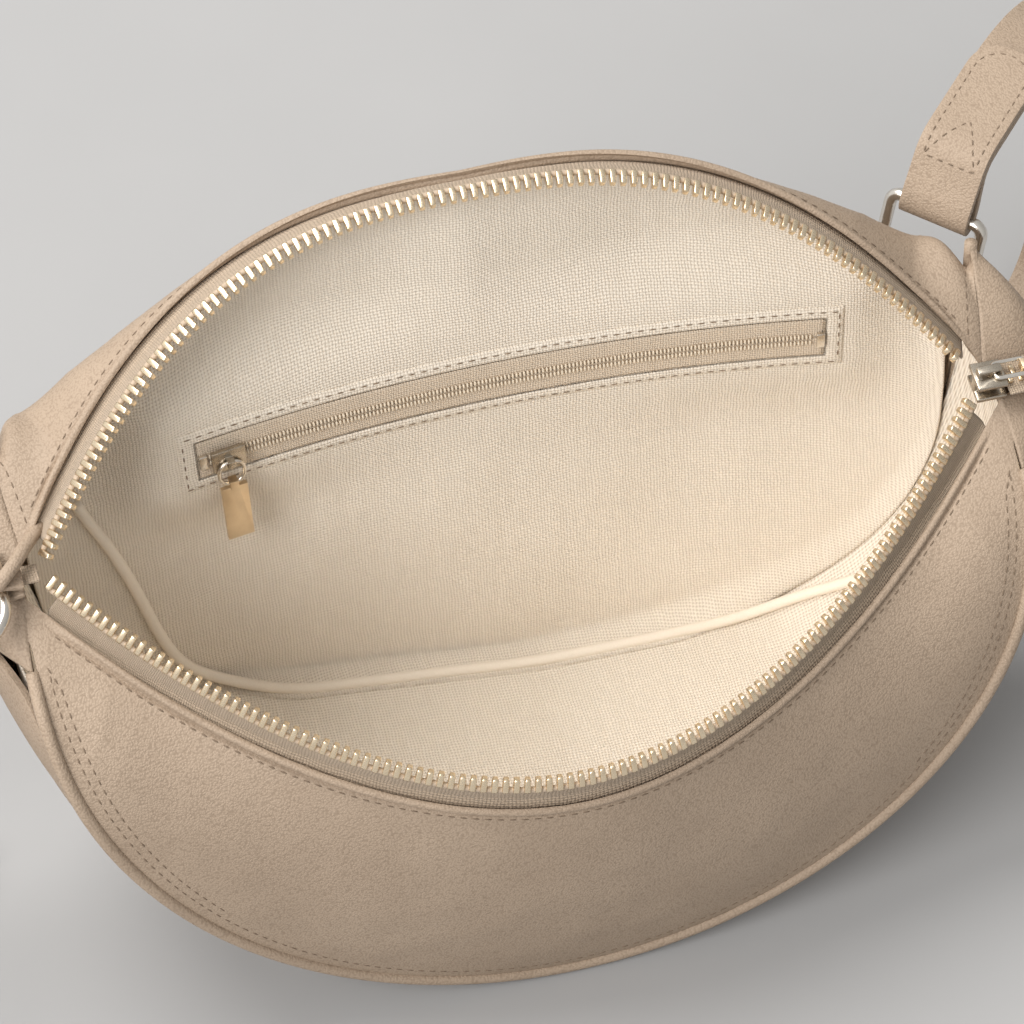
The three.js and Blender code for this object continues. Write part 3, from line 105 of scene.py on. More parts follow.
# %% World
WORLD_LEFT, WORLD_RIGHT = 0.88, 0.42
bpy.context.scene.view_settings.view_transform = "Standard"
world = bpy.data.worlds.new("studio")
bpy.context.scene.world = world
world.use_nodes = True
sky = world.node_tree
background = sky.nodes["Background"]
background.inputs["Color"].default_value = (1.0, 0.985, 0.96, 1)
toward_sky = sky.nodes.new("ShaderNodeTexCoord")
sides = sky.nodes.new("ShaderNodeSeparateXYZ")
fall = sky.nodes.new("ShaderNodeMapRange")
sky.links.new(toward_sky.outputs["Generated"], sides.inputs[0])
sky.links.new(sides.outputs["X"], fall.inputs["Value"])
for socket, value in (("From Min", -1.0), ("From Max", 1.0),
                      ("To Min", WORLD_LEFT), ("To Max", WORLD_RIGHT)):
    fall.inputs[socket].default_value = value
sky.links.new(fall.outputs["Result"], background.inputs["Strength"])
print("world strength", WORLD_LEFT, "to", WORLD_RIGHT)

# %% Lamps and floor
FLOOR_HALF = 4.0


def soft_lamp(name, place, aim, size, power, tint):
    data = bpy.data.lights.new(name, "AREA")
    data.shape = "DISK"
    data.size = size
    data.energy = power
    data.color = tint
    lamp = bpy.data.objects.new(name, data)
    lamp.location = place
    lamp.rotation_mode = "QUATERNION"
    lamp.rotation_quaternion = (Vector(aim) - Vector(place)).to_track_quat("-Z", "Y")
    bpy.context.scene.collection.objects.link(lamp)
    return lamp


soft_lamp("window_lamp", (-0.7, 0.7, 2.0), (0, 0, 0.08), 1.2, 38, (1.0, 0.98, 0.95))
soft_lamp("front_lamp", (-1.5, -1.0, 1.7), (0, 0.04, 0.1), 1.5, 42, (1.0, 0.98, 0.96))


def as_mesh(name, bm):
    mesh = bpy.data.meshes.new(name)
    bm.to_mesh(mesh)
    bm.free()
    return mesh


bm = bmesh.new()
bmesh.ops.create_grid(bm, x_segments=2, y_segments=2, size=FLOOR_HALF)
floor = bpy.data.objects.new("floor", as_mesh("floor", bm))
bpy.context.scene.collection.objects.link(floor)
print("lamps", len(bpy.data.lights))

# %% [markdown]
# ## Shared effects
# Grain, weave and mottling are each wanted in more than one finish, so each is one node group with
# named sockets. A group gives only masks and heights; the shader that uses them stays in its own
# material.

# %% Node helpers
def make_group(name, inputs, outputs):
    tree = bpy.data.node_groups.new(name, "ShaderNodeTree")
    for socket, kind, default in inputs:
        made = tree.interface.new_socket(socket, in_out="INPUT", socket_type=kind)
        if default is not None:
            made.default_value = default
    for socket, kind in outputs:
        tree.interface.new_socket(socket, in_out="OUTPUT", socket_type=kind)
    return tree, tree.nodes.new("NodeGroupInput"), tree.nodes.new("NodeGroupOutput")


def feed(tree, socket, value):
    if isinstance(value, bpy.types.NodeSocket):
        tree.links.new(value, socket)
    elif value is not None:
        socket.default_value = value


def math_node(tree, operation, first, second=None, third=None):
    node = tree.nodes.new("ShaderNodeMath")
    node.operation = operation
    for socket, value in zip(node.inputs, (first, second, third)):
        feed(tree, socket, value)
    return node.outputs[0]


def noise_node(tree, vector, scale, detail=3.0, rough=0.55):
    node = tree.nodes.new("ShaderNodeTexNoise")
    feed(tree, node.inputs["Vector"], vector)
    feed(tree, node.inputs["Scale"], scale)
    node.inputs["Detail"].default_value = detail
    node.inputs["Roughness"].default_value = rough
    return node


def mix_color(tree, factor, first, second):
    node = tree.nodes.new("ShaderNodeMix")
    node.data_type = "RGBA"
    feed(tree, node.inputs[0], factor)
    feed(tree, node.inputs[6], first)
    feed(tree, node.inputs[7], second)
    return node.outputs[2]


def ranged(tree, value, low, high, to_low=0.0, to_high=1.0):
    node = tree.nodes.new("ShaderNodeMapRange")
    feed(tree, node.inputs["Value"], value)
    node.inputs["From Min"].default_value = low
    node.inputs["From Max"].default_value = high
    node.inputs["To Min"].default_value = to_low
    node.inputs["To Max"].default_value = to_high
    return node.outputs["Result"]


print("helpers for math, noise, mix and range nodes")

# %% [markdown]
# ### Pebble grain
# Milled leather has small domes with creases between them. A picture could carry that, but a smooth
# Voronoi pattern needs no file: its distance makes the domes, and a noise pushes the cells about so
# that no two match.

# %% Pebble grain group
BEND_SCALE, BEND_BY, FINE_SCALE, FINE_SHARE = 420.0, 0.0011, 2600.0, 0.35
pebble, pebble_in, pebble_out = make_group(
    "pebble_grain",
    [("Vector", "NodeSocketVector", None), ("Scale", "NodeSocketFloat", 900.0)],
    [("Height", "NodeSocketFloat"), ("Crease", "NodeSocketFloat")],
)
bend = noise_node(pebble, pebble_in.outputs["Vector"], BEND_SCALE, 2.0)
shove = pebble.nodes.new("ShaderNodeVectorMath")
shove.operation = "MULTIPLY_ADD"
pebble.links.new(bend.outputs["Color"], shove.inputs[0])
shove.inputs[1].default_value = (BEND_BY, BEND_BY, BEND_BY)
pebble.links.new(pebble_in.outputs["Vector"], shove.inputs[2])
cells = pebble.nodes.new("ShaderNodeTexVoronoi")
cells.feature = "SMOOTH_F1"
cells.inputs["Smoothness"].default_value = 0.35
pebble.links.new(shove.outputs[0], cells.inputs["Vector"])
pebble.links.new(pebble_in.outputs["Scale"], cells.inputs["Scale"])
dome = ranged(pebble, cells.outputs["Distance"], 0.12, 0.75, 1.0, 0.0)
fine = noise_node(pebble, pebble_in.outputs["Vector"], FINE_SCALE, 2.0)
height = math_node(pebble, "MULTIPLY_ADD", fine.outputs["Fac"], FINE_SHARE, dome)
pebble.links.new(height, pebble_out.inputs["Height"])
pebble.links.new(ranged(pebble, cells.outputs["Distance"], 0.45, 0.85), pebble_out.inputs["Crease"])
print(pebble.name, len(pebble.nodes), "nodes")

# %% [markdown]
# ### Plain weave
# In linen each thread goes over one and under the next. Two sines give the round warp and weft, and a
# chequer of squares says which of the two lies on top. The hole between four threads is a mask of its
# own.

# %% Plain weave group
WANDER_SCALE, WANDER_BY, SLUB_SCALE, SLUB_STRETCH = 160.0, 0.0012, 900.0, 0.06
weave, weave_in, weave_out = make_group(
    "plain_weave",
    [("Vector", "NodeSocketVector", None), ("Threads", "NodeSocketFloat", 1250.0)],
    [("Height", "NodeSocketFloat"), ("Gap", "NodeSocketFloat"), ("Slub", "NodeSocketFloat")],
)
wander = noise_node(weave, weave_in.outputs["Vector"], WANDER_SCALE, 2.0)
sway = weave.nodes.new("ShaderNodeVectorMath")
sway.operation = "MULTIPLY_ADD"
weave.links.new(wander.outputs["Color"], sway.inputs[0])
sway.inputs[1].default_value = (WANDER_BY, WANDER_BY, 0.0)
weave.links.new(weave_in.outputs["Vector"], sway.inputs[2])
cut = weave.nodes.new("ShaderNodeSeparateXYZ")
weave.links.new(sway.outputs[0], cut.inputs[0])
across = math_node(weave, "MULTIPLY", cut.outputs["X"], weave_in.outputs["Threads"])
along = math_node(weave, "MULTIPLY", cut.outputs["Y"], weave_in.outputs["Threads"])
warp = math_node(weave, "ABSOLUTE", math_node(weave, "SINE", math_node(weave, "MULTIPLY", across, math.pi)))
weft = math_node(weave, "ABSOLUTE", math_node(weave, "SINE", math_node(weave, "MULTIPLY", along, math.pi)))
squares = math_node(weave, "ADD", math_node(weave, "FLOOR", across), math_node(weave, "FLOOR", along))
turn = math_node(weave, "FLOORED_MODULO", squares, 2.0)
warp_up = math_node(weave, "MULTIPLY", warp, math_node(weave, "MULTIPLY_ADD", weft, 0.5, 0.5))
weft_up = math_node(weave, "MULTIPLY", weft, math_node(weave, "MULTIPLY_ADD", warp, 0.5, 0.5))
rest = math_node(weave, "MULTIPLY", warp_up, math_node(weave, "SUBTRACT", 1.0, turn))
weave.links.new(math_node(weave, "MULTIPLY_ADD", weft_up, turn, rest), weave_out.inputs["Height"])
warp_gap, weft_gap = [math_node(weave, "SUBTRACT", 1.0, thread) for thread in (warp, weft)]
hole = math_node(weave, "MULTIPLY", warp_gap, weft_gap)
weave.links.new(math_node(weave, "POWER", hole, 0.7), weave_out.inputs["Gap"])
streak = weave.nodes.new("ShaderNodeMapping")
streak.inputs["Scale"].default_value = (1.0, SLUB_STRETCH, 1.0)
weave.links.new(weave_in.outputs["Vector"], streak.inputs["Vector"])
slub = noise_node(weave, streak.outputs[0], SLUB_SCALE, 2.0)
weave.links.new(slub.outputs["Fac"], weave_out.inputs["Slub"])
print(weave.name, len(weave.nodes), "nodes")

# %% [markdown]
# ### Mottle
# No hide, cloth or metal has one flat colour. A slow noise, stretched to a mask, moves a finish between
# two close tones.

# %% Mottle group
mottle, mottle_in, mottle_out = make_group(
    "soft_mottle",
    [("Vector", "NodeSocketVector", None), ("Scale", "NodeSocketFloat", 40.0)],
    [("Mask", "NodeSocketFloat")],
)
clouds = noise_node(mottle, mottle_in.outputs["Vector"], mottle_in.outputs["Scale"], 4.0, 0.6)
mottle.links.new(ranged(mottle, clouds.outputs["Fac"], 0.3, 0.7), mottle_out.inputs["Mask"])
print("groups", [g.name for g in bpy.data.node_groups])

# %% [markdown]
# ## Finishes
# Each finish is one Principled shader that is fed by the shared groups, so that all of them answer to
# the same light. A value that is even all over the surface is set on the shader itself.

# %% Finish helpers
def new_finish(name):
    finish = bpy.data.materials.new(name)
    finish.use_nodes = True
    tree = finish.node_tree
    return finish, tree, tree.nodes["Principled BSDF"]


def coordinates(tree, kind):
    return tree.nodes.new("ShaderNodeTexCoord").outputs[kind]


def place_group(tree, group, **values):
    node = tree.nodes.new("ShaderNodeGroup")
    node.node_tree = group
    for socket, value in values.items():
        feed(tree, node.inputs[socket], value)
    return node.outputs


def bump(tree, shader, height, depth, strength=1.0):
    node = tree.nodes.new("ShaderNodeBump")
    node.inputs["Strength"].default_value = strength
    node.inputs["Distance"].default_value = depth
    feed(tree, node.inputs["Height"], height)
    tree.links.new(node.outputs[0], shader.inputs["Normal"])


print("helpers for finishes")

# %% [markdown]
# ### Leather
# The hide is a warm taupe, darker in the creases of its grain and a little shinier on its domes. The
# pattern reads Object coordinates, so it runs on from one piece to the next with no seam.

# %% Leather
GRAIN_SCALE, GRAIN_DEPTH, CREASE_SHARE, HIDE_MOTTLE = 1750.0, 0.00016, 0.55, 38.0


def leather_finish(name, low, high, crease):
    finish, tree, shader = new_finish(name)
    where = coordinates(tree, "Object")
    grain = place_group(tree, pebble, Vector=where, Scale=GRAIN_SCALE)
    clouds = place_group(tree, mottle, Vector=where, Scale=HIDE_MOTTLE)
    base = mix_color(tree, clouds["Mask"], low, high)
    deep = math_node(tree, "MULTIPLY", grain["Crease"], CREASE_SHARE)
    tree.links.new(mix_color(tree, deep, base, crease), shader.inputs["Base Color"])
    tree.links.new(ranged(tree, grain["Height"], 0.0, 1.2, 0.66, 0.52), shader.inputs["Roughness"])
    shader.inputs["Specular IOR Level"].default_value = 0.38
    bump(tree, shader, grain["Height"], GRAIN_DEPTH, 0.6)
    return finish


leather = leather_finish("taupe_leather", (0.345, 0.262, 0.192, 1), (0.39, 0.300, 0.222, 1),
                         (0.22, 0.160, 0.112, 1))
print(leather.name, len(leather.node_tree.nodes), "nodes")

# %% [markdown]
# ### Cloth
# The lining is a cream linen whose threads can be counted, and the zip tapes are a closer, darker
# weave. Cloth follows its own UV map, in metres, so that the threads bend with the piece and keep their
# size.

# %% Cloth
def woven_finish(name, light, dark, gap, threads, depth, gap_share):
    finish, tree, shader = new_finish(name)
    where = coordinates(tree, "UV")
    cloth = place_group(tree, weave, Vector=where, Threads=threads)
    clouds = place_group(tree, mottle, Vector=coordinates(tree, "Object"), Scale=30.0)
    base = mix_color(tree, cloth["Slub"], light, dark)
    shade = mix_color(tree, math_node(tree, "MULTIPLY", clouds["Mask"], 0.18), base, dark)
    seen = math_node(tree, "MULTIPLY", cloth["Gap"], gap_share)
    tree.links.new(mix_color(tree, seen, shade, gap), shader.inputs["Base Color"])
    shader.inputs["Roughness"].default_value = 0.9
    shader.inputs["Specular IOR Level"].default_value = 0.2
    shader.inputs["Sheen Weight"].default_value = 0.12
    bump(tree, shader, cloth["Height"], depth)
    return finish


LINEN_THREADS, TAPE_THREADS, THREAD_DEPTH = 1250.0, 1500.0, 0.0002
linen = woven_finish("cream_linen", (0.96, 0.885, 0.78, 1), (0.88, 0.79, 0.67, 1), (0.46, 0.36, 0.26, 1),
                     LINEN_THREADS, THREAD_DEPTH, 0.75)
tape_cloth = woven_finish("beige_tape", (0.52, 0.41, 0.31, 1), (0.43, 0.34, 0.25, 1), (0.25, 0.19, 0.13, 1),
                          TAPE_THREADS, THREAD_DEPTH, 0.7)
pocket_cloth = woven_finish("pocket_tape", (0.82, 0.70, 0.56, 1), (0.70, 0.58, 0.45, 1),
                            (0.42, 0.33, 0.24, 1), TAPE_THREADS, THREAD_DEPTH, 0.7)
print("cloths", [cloth.name for cloth in (linen, tape_cloth, pocket_cloth)])

# %% [markdown]
# ### Metal
# The teeth and pulls are pale brass, the rings and the buckle nickel, and the sliders a darker antique
# nickel. Bare metal mirrors the studio, so a faint mottle and fine scratches in the roughness keep it
# from looking new.

# %% Metal
def metal_finish(name, light, dark, rough_low, rough_high):
    finish, tree, shader = new_finish(name)
    where = coordinates(tree, "Object")
    clouds = place_group(tree, mottle, Vector=where, Scale=260.0)
    scratch = noise_node(tree, where, 3200.0, 2.0)
    tree.links.new(mix_color(tree, clouds["Mask"], light, dark), shader.inputs["Base Color"])
    rough = ranged(tree, scratch.outputs["Fac"], 0.3, 0.7, rough_low, rough_high)
    tree.links.new(rough, shader.inputs["Roughness"])
    shader.inputs["Metallic"].default_value = 1.0
    bump(tree, shader, scratch.outputs["Fac"], 0.00001, 0.25)
    return finish


brass = metal_finish("pale_brass", (0.90, 0.76, 0.56, 1), (0.80, 0.66, 0.47, 1), 0.24, 0.34)
satin_brass = metal_finish("satin_brass", (0.86, 0.71, 0.51, 1), (0.78, 0.63, 0.44, 1), 0.3, 0.42)
nickel = metal_finish("warm_nickel", (0.80, 0.76, 0.70, 1), (0.70, 0.66, 0.60, 1), 0.16, 0.26)
antique = metal_finish("antique_nickel", (0.58, 0.52, 0.44, 1), (0.44, 0.39, 0.32, 1), 0.24, 0.36)
print("metals", [metal.name for metal in (brass, satin_brass, nickel, antique)])

# %% [markdown]
# ### Thread, cord and floor
# Thread, cord and coil are all twisted yarn, so they share one finish: a fine noise moves the colour
# and the surface. The floor is a matt grey whose own colour, and not more light, sets the tone behind
# the bag.

# %% Thread, cord and floor
def thread_finish(name, light, dark):
    finish, tree, shader = new_finish(name)
    where = coordinates(tree, "Object")
    twist = noise_node(tree, where, 2400.0, 2.0)
    tree.links.new(mix_color(tree, twist.outputs["Fac"], light, dark), shader.inputs["Base Color"])
    shader.inputs["Roughness"].default_value = 0.7
    bump(tree, shader, twist.outputs["Fac"], 0.0001, 0.6)
    return finish


coil_nylon = thread_finish("coil_nylon", (0.86, 0.76, 0.62, 1), (0.66, 0.56, 0.43, 1))
leather_thread = thread_finish("taupe_thread", (0.22, 0.16, 0.11, 1), (0.15, 0.105, 0.07, 1))
# The lining thread is darker than its own beige: its dark brown is painted shade of the needle holes it
# passes through.
lining_thread_hole_shade = thread_finish("brown_thread_painted_hole_shade", (0.30, 0.22, 0.15, 1), (0.20, 0.14, 0.09, 1))
linen_cord = thread_finish("linen_cord", (0.94, 0.86, 0.75, 1), (0.84, 0.75, 0.63, 1))
tape_cord = thread_finish("tape_cord", (0.50, 0.40, 0.30, 1), (0.40, 0.31, 0.23, 1))

floor_finish, floor_tree, floor_shader = new_finish("pale_floor")
floor_clouds = place_group(floor_tree, mottle, Vector=coordinates(floor_tree, "Object"), Scale=6.0)
floor_color = mix_color(floor_tree, floor_clouds["Mask"], (0.358, 0.358, 0.361, 1), (0.376, 0.376, 0.379, 1))
floor_tree.links.new(floor_color, floor_shader.inputs["Base Color"])
floor_shader.inputs["Roughness"].default_value = 0.95
floor_shader.inputs["Specular IOR Level"].default_value = 0.1
floor.data.materials.append(floor_finish)
print("finishes", [m.name for m in bpy.data.materials])

# %% [markdown]
# ## The bag's curves
# Two mouth lines and two seam lines shape the whole bag: each wall is lofted from its rim to its seam
# and swells a little between them. The values repeat the CAD source, in millimetres, so that every skin
# sits on its solid.

# %% Sizes of the bag
MOUTH_HALF, TIP_Y, TIP_Z = 114.0, 14.0, 119.0
SEAM_HALF, SEAM_Z, SHOULDER_POWER = 120.0, 2.2, 0.12
TIP_ANGLE, TIP_CROWD, SHARE_STEP, ANGLE_STEP = 0.02, 0.4, 0.012, 0.01
SWELL_FULL, SWELL_LIFT_SHARE, SWELL_TIP_SHARE, SWELL_END_POWER = 40.0, 0.16, 0.09, 1.06
LEATHER, LINING, TAPE, GAP = 1.8, 0.6, 0.6, 0.3
SEAM_MARGIN, LINING_MARGIN, LINING_TUCK, LINING_TOP = 1.3, 3.0, 0.6, 2.0
LINING_OUT = LEATHER + TAPE + 4 * GAP
TAPE_SHOW, TOOTH_PITCH = 5.5, 2.54
STRINGER_LEFT, STRINGER_RIGHT = 0.978, 0.968
WALLS = {
    "front": dict(sign=-1, edge=(-51.0, 86.0, 1.93), seam=(6.0, 108.0, -51.0, 0.42, 1.15, 0.0, 0.0),
                  tip=(0, 0.8, 0.6), mid=(0, 0.3, 0.95), swell=(5.0, 5.0, 1.0)),
    "back": dict(sign=1, edge=(61.0, 168.0, 2.65), seam=(18.0, 119.0, 38.0, 0.9, 0.43, 27.0, 40.0),
                 tip=(0, -0.95, -0.1), mid=(0, -0.95, -0.2), swell=(4.9, 25.6, 0.51)),
}
PUFF, PUFF_SHARE, PUFF_POWER, PUFF_WAY = 11.0, 0.09, 0.85, (0.35, 0.68, 0.64)
SHARES = np.linspace(0, 1, 801)
print("mouth", 2 * MOUTH_HALF, "mm wide, seams", 2 * SEAM_HALF, "mm")

# %% [markdown]
# ### Mouth and seam lines
# Each line turns through half a circle of angle, which puts its points close together at the tips,
# where the bag bends most. Numpy works on all the points of a line at once, so even a fine skin is
# quick to make.

# %% Mouth and seam lines
def mix(a, b, t):
    return a + (b - a) * t


def unit(v):
    return v / np.linalg.norm(v, axis=-1, keepdims=True)


def smooth(low, high, v):
    t = np.clip((np.asarray(v, float) - low) / (high - low), 0, 1)
    return t * t * (3 - 2 * t)


def teeth_line(wall, angle):
    edge_y, edge_z, power = wall["edge"]
    side = -np.cos(angle)
    rise = 1 - np.abs(side) ** power
    return np.stack([MOUTH_HALF * side, mix(TIP_Y, edge_y, rise), mix(TIP_Z, edge_z, rise)], -1)


def seam_line(wall, angle):
    tip_y, tip_z, low_y, reach, power, out, up = wall["seam"]
    sweep = np.maximum(np.sin(angle), 0)
    shoulder = sweep ** SHOULDER_POWER
    swell = 4 * shoulder * (1 - shoulder)
    y = mix(tip_y, low_y, sweep ** reach) + out * swell
    z = mix(tip_z, SEAM_Z, sweep ** power) + up * swell
    return np.stack([-SEAM_HALF * np.cos(angle), y, z], -1)


def run_of(wall, angle):
    return unit(teeth_line(wall, angle + 0.002) - teeth_line(wall, angle - 0.002))


def tape_rise(wall, angle):
    run = run_of(wall, angle)
    lean = np.sin(angle)[..., None]
    rise = mix(np.array(wall["tip"], float), np.array(wall["mid"], float), lean)
    return unit(rise - run * (rise * run).sum(-1, keepdims=True))


def table_at(table, share):
    return np.stack([np.interp(share, SHARES, table[:, k]) for k in range(3)], -1)


def lengths_along(spots):
    return np.concatenate([[0], np.cumsum(np.linalg.norm(np.diff(spots, axis=0), axis=1))])


def share_table(line):
    angles = np.linspace(TIP_ANGLE, math.pi - TIP_ANGLE, 1201)
    lengths = lengths_along(line(angles))
    return angles, lengths / lengths[-1]


print("front rim", teeth_line(WALLS["front"], np.array(math.pi / 2)))

# %% [markdown]
# ### Tables of a wall
# A wall is asked for many points, so its rim, its seam and the way that it faces are worked out once,
# at even shares of its length, and read off afterwards.

# %% Tables of a wall
for wall in WALLS.values():
    top_angles, top_lengths = share_table(lambda a, w=wall: teeth_line(w, a))
    low_angles, low_lengths = share_table(lambda a, w=wall: seam_line(w, a))
    wall["top_angle"] = lambda s, a=top_angles, n=top_lengths: np.interp(s, n, a)
    wall["low_angle"] = lambda s, a=low_angles, n=low_lengths: np.interp(s, n, a)
    angle = wall["top_angle"](SHARES)
    wall["top"] = teeth_line(wall, angle) - TAPE_SHOW * tape_rise(wall, angle)
    wall["low"] = seam_line(wall, wall["low_angle"](SHARES))
    before, after = np.maximum(SHARES - SHARE_STEP, 0), np.minimum(SHARES + SHARE_STEP, 1)
    middle = wall["top"] + wall["low"]
    along = table_at(middle, after) - table_at(middle, before)
    wall["facing"] = unit(np.cross(along, wall["low"] - wall["top"])) * wall["sign"]
    wall["tall"] = np.linalg.norm(wall["low"] - wall["top"], axis=1)
print("tables of", len(SHARES), "shares")

# %% [markdown]
# ### Points on a wall
# A place on a wall is a share of its length, from left to right, and a depth from its rim to its seam. The
# wall swells between the two, and the back wall is puffed at its ends, where the strap pulls.

# %% Points on a wall
def wall_point(wall, share, depth):
    share, depth = np.broadcast_arrays(np.asarray(share, float), np.asarray(depth, float))
    d = depth[..., None]
    spot = table_at(wall["top"], share) * (1 - d) + table_at(wall["low"], share) * d
    low, high, lift = wall["swell"]
    tip = np.minimum(share, 1 - share)
    power = mix(1, lift, np.minimum(tip / SWELL_LIFT_SHARE, 1))
    full = mix(low, high, np.abs(2 * share - 1) ** SWELL_END_POWER)
    swell = full * np.sin(math.pi * np.maximum(depth, 0) ** power)
    tall = np.interp(share, SHARES, wall["tall"])
    fade = np.minimum(tall / SWELL_FULL, 1) * np.minimum(tip / SWELL_TIP_SHARE, 1)
    spot = spot + table_at(wall["facing"], share) * (swell * fade)[..., None]
    if wall["sign"] > 0:
        part = np.minimum(tip / PUFF_SHARE, 1)
        puff = PUFF * 4 * part * (1 - part) * np.sin(math.pi * np.maximum(depth, 0) ** PUFF_POWER)
        side = np.sign(share - 0.5)
        spot = spot + np.stack([side * puff * PUFF_WAY[0], puff * PUFF_WAY[1], puff * PUFF_WAY[2]], -1)
    return spot


print("back wall's middle", wall_point(WALLS["back"], 0.5, 0.5).round(1))

# %% [markdown]
# ### Distances on a wall
# A rim, a seam and a row of stitches are known by their distance from an edge. One more table turns a
# distance down the wall into a depth, so that they keep it all along the bag.

# %% Distances on a wall
FACE_SHARE, FACE_DROP = 0.005, 0.6
DEPTHS, PARTS = np.linspace(0, 1, 241) ** 2, np.linspace(0, 1, 201)
for wall in WALLS.values():
    columns = [wall_point(wall, np.full_like(DEPTHS, share), DEPTHS) for share in SHARES[::4]]
    lengths = [lengths_along(spots) for spots in columns]
    wall["length"] = np.array([length[-1] for length in lengths])
    wall["depths"] = np.array([np.interp(PARTS * length[-1], length, DEPTHS) for length in lengths])


def wall_length(wall, share):
    return np.interp(share, SHARES[::4], wall["length"])


def depth_at(wall, share, distance):
    """Depth at a distance down the wall from its rim."""
    table = wall["depths"]
    row = share * (len(table) - 1)
    col = np.clip(distance / wall_length(wall, share), 0, 1) * (len(PARTS) - 1)
    i = np.clip(row.astype(int), 0, len(table) - 2)
    j = np.clip(col.astype(int), 0, len(PARTS) - 2)
    upper = mix(table[i, j], table[i, j + 1], col - j)
    lower = mix(table[i + 1, j], table[i + 1, j + 1], col - j)
    return mix(upper, lower, row - i)


def on_wall(wall, share, distance):
    """Points of the outer face, and the directions that they face."""
    def at(s, d):
        return wall_point(wall, s, depth_at(wall, s, d))
    before, after = np.maximum(share - FACE_SHARE, 0), np.minimum(share + FACE_SHARE, 1)
    along = at(after, distance) - at(before, distance)
    down = at(share, distance + FACE_DROP) - at(share, np.maximum(distance - FACE_DROP, 0))
    return at(share, distance), unit(np.cross(along, down)) * wall["sign"]


def seam_share(wall, share, margin):
    before, after = np.maximum(share - SHARE_STEP, 0), np.minimum(share + SHARE_STEP, 1)
    run = unit(table_at(wall["low"], after) - table_at(wall["low"], before))
    down = table_at(wall["low"], share) - table_at(wall["top"], share)
    square = np.linalg.norm(down - run * (down * run).sum(-1, keepdims=True), axis=-1)
    return np.minimum(margin / square, 0.45)


def seam_distance(wall, share, margin):
    return wall_length(wall, share) * (1 - seam_share(wall, share, margin))


def tip_share(part):
    return part - TIP_CROWD * np.sin(2 * math.pi * part) / (2 * math.pi)


FRONT, BACK = WALLS["front"], WALLS["back"]
for name, wall in WALLS.items():
    print(name, "wall", round(float(wall["length"].max()), 1), "mm from rim to seam")

# %% [markdown]
# ## Skins
# A soft skin starts as a flat grid. Each of its points is moved to its place on the lofted wall, and a
# Solidify modifier gives it the thickness of the hide or cloth. A UV map in metres lies flat on the
# cloth, so a weave keeps its size.

# %% Skin helpers
def ripple(spots, size, seed):
    shift = Vector((seed * 13.7, seed * 5.1, seed * 2.3))
    return np.array([noise.noise(Vector(p) / size + shift) for p in spots])


def new_piece(name, bm, finish, body, nodes=()):
    mesh = as_mesh(name, bm)
    mesh.polygons.foreach_set("use_smooth", [True] * len(mesh.polygons))
    mesh.materials.append(finish)
    piece = bpy.data.objects.new(name, mesh)
    bpy.context.scene.collection.objects.link(piece)
    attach(piece, body)
    if nodes:
        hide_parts(*nodes)
    return piece


def skin(name, columns, rows, place, flat, toward, finish, body, nodes=(), thick=0.0, round_edge=0.0):
    """A grid whose point (u, v) goes to place(u, v) in millimetres, facing toward."""
    bm = bmesh.new()
    bmesh.ops.create_grid(bm, x_segments=columns, y_segments=rows, size=1)
    flat_spots = np.array([v.co[:2] for v in bm.verts])
    u, v = (flat_spots[:, 0] + 1) / 2, (flat_spots[:, 1] + 1) / 2
    spots = place(u, v)
    cloth = flat(u, v, spots)
    for vert, spot in zip(bm.verts, spots):
        vert.co = Vector(spot) * MM
    bm.verts.index_update()
    layer = bm.loops.layers.uv.new("cloth")
    for face in bm.faces:
        for loop in face.loops:
            loop[layer].uv = cloth[loop.vert.index] * MM
    bm.normal_update()
    facing = sum(f.normal.dot(Vector(toward(f.calc_center_median() / MM))) * f.calc_area() for f in bm.faces)
    if facing < 0:
        bmesh.ops.reverse_faces(bm, faces=bm.faces[:])
    piece = new_piece(name, bm, finish, body, nodes)
    if thick:
        wall = piece.modifiers.new("thickness", "SOLIDIFY")
        wall.thickness = thick * MM
        wall.offset = -1
        wall.use_even_offset = False
    if round_edge:
        edge = piece.modifiers.new("round", "BEVEL")
        edge.width = round_edge * MM
        edge.segments = 3
        edge.limit_method = "ANGLE"
        edge.angle_limit = math.radians(50)
    print(name, len(piece.data.polygons), "faces")
    return piece


def face_up(u, v, spots):
    return np.stack([spots[:, 0], spots[:, 2] * 1.04], -1)


def lies_flat(u, v, spots):
    return spots[:, :2]


# %% [markdown]
# ## Leather walls
# Each wall is cut from one hide, and its top edge is rolled over a cord, which leaves a soft bead and a
# crease. A plain loft would look like a shell. A hide that is turned and stuffed shows slow hollows, so
# a slow noise moves it a little, and not at its edges, where it is sewn.

# %% Leather walls
BEAD_DEEP, BEAD_HIGH, RIM_ZONE, RIM_CUT, HIDE, HIDE_ROUND = 2.2, 1.0, 7.5, 1.6, 1.2, 0.4
CREASE_DEEP, CREASE_WIDE, CREASE_AT = 0.55, 0.5, 0.4
SLOW_WAVE, SLOW_SIZE, FINE_WAVE, FINE_SIZE = 0.5, 28, 0.2, 9
CALM_RIM, CALM_SEAM, BEAD_TIP, RIM_ROWS = (3, 14), (0, 12), (0.015, 0.06), 0.25
FRONT_SEED, BACK_SEED = 1, 2


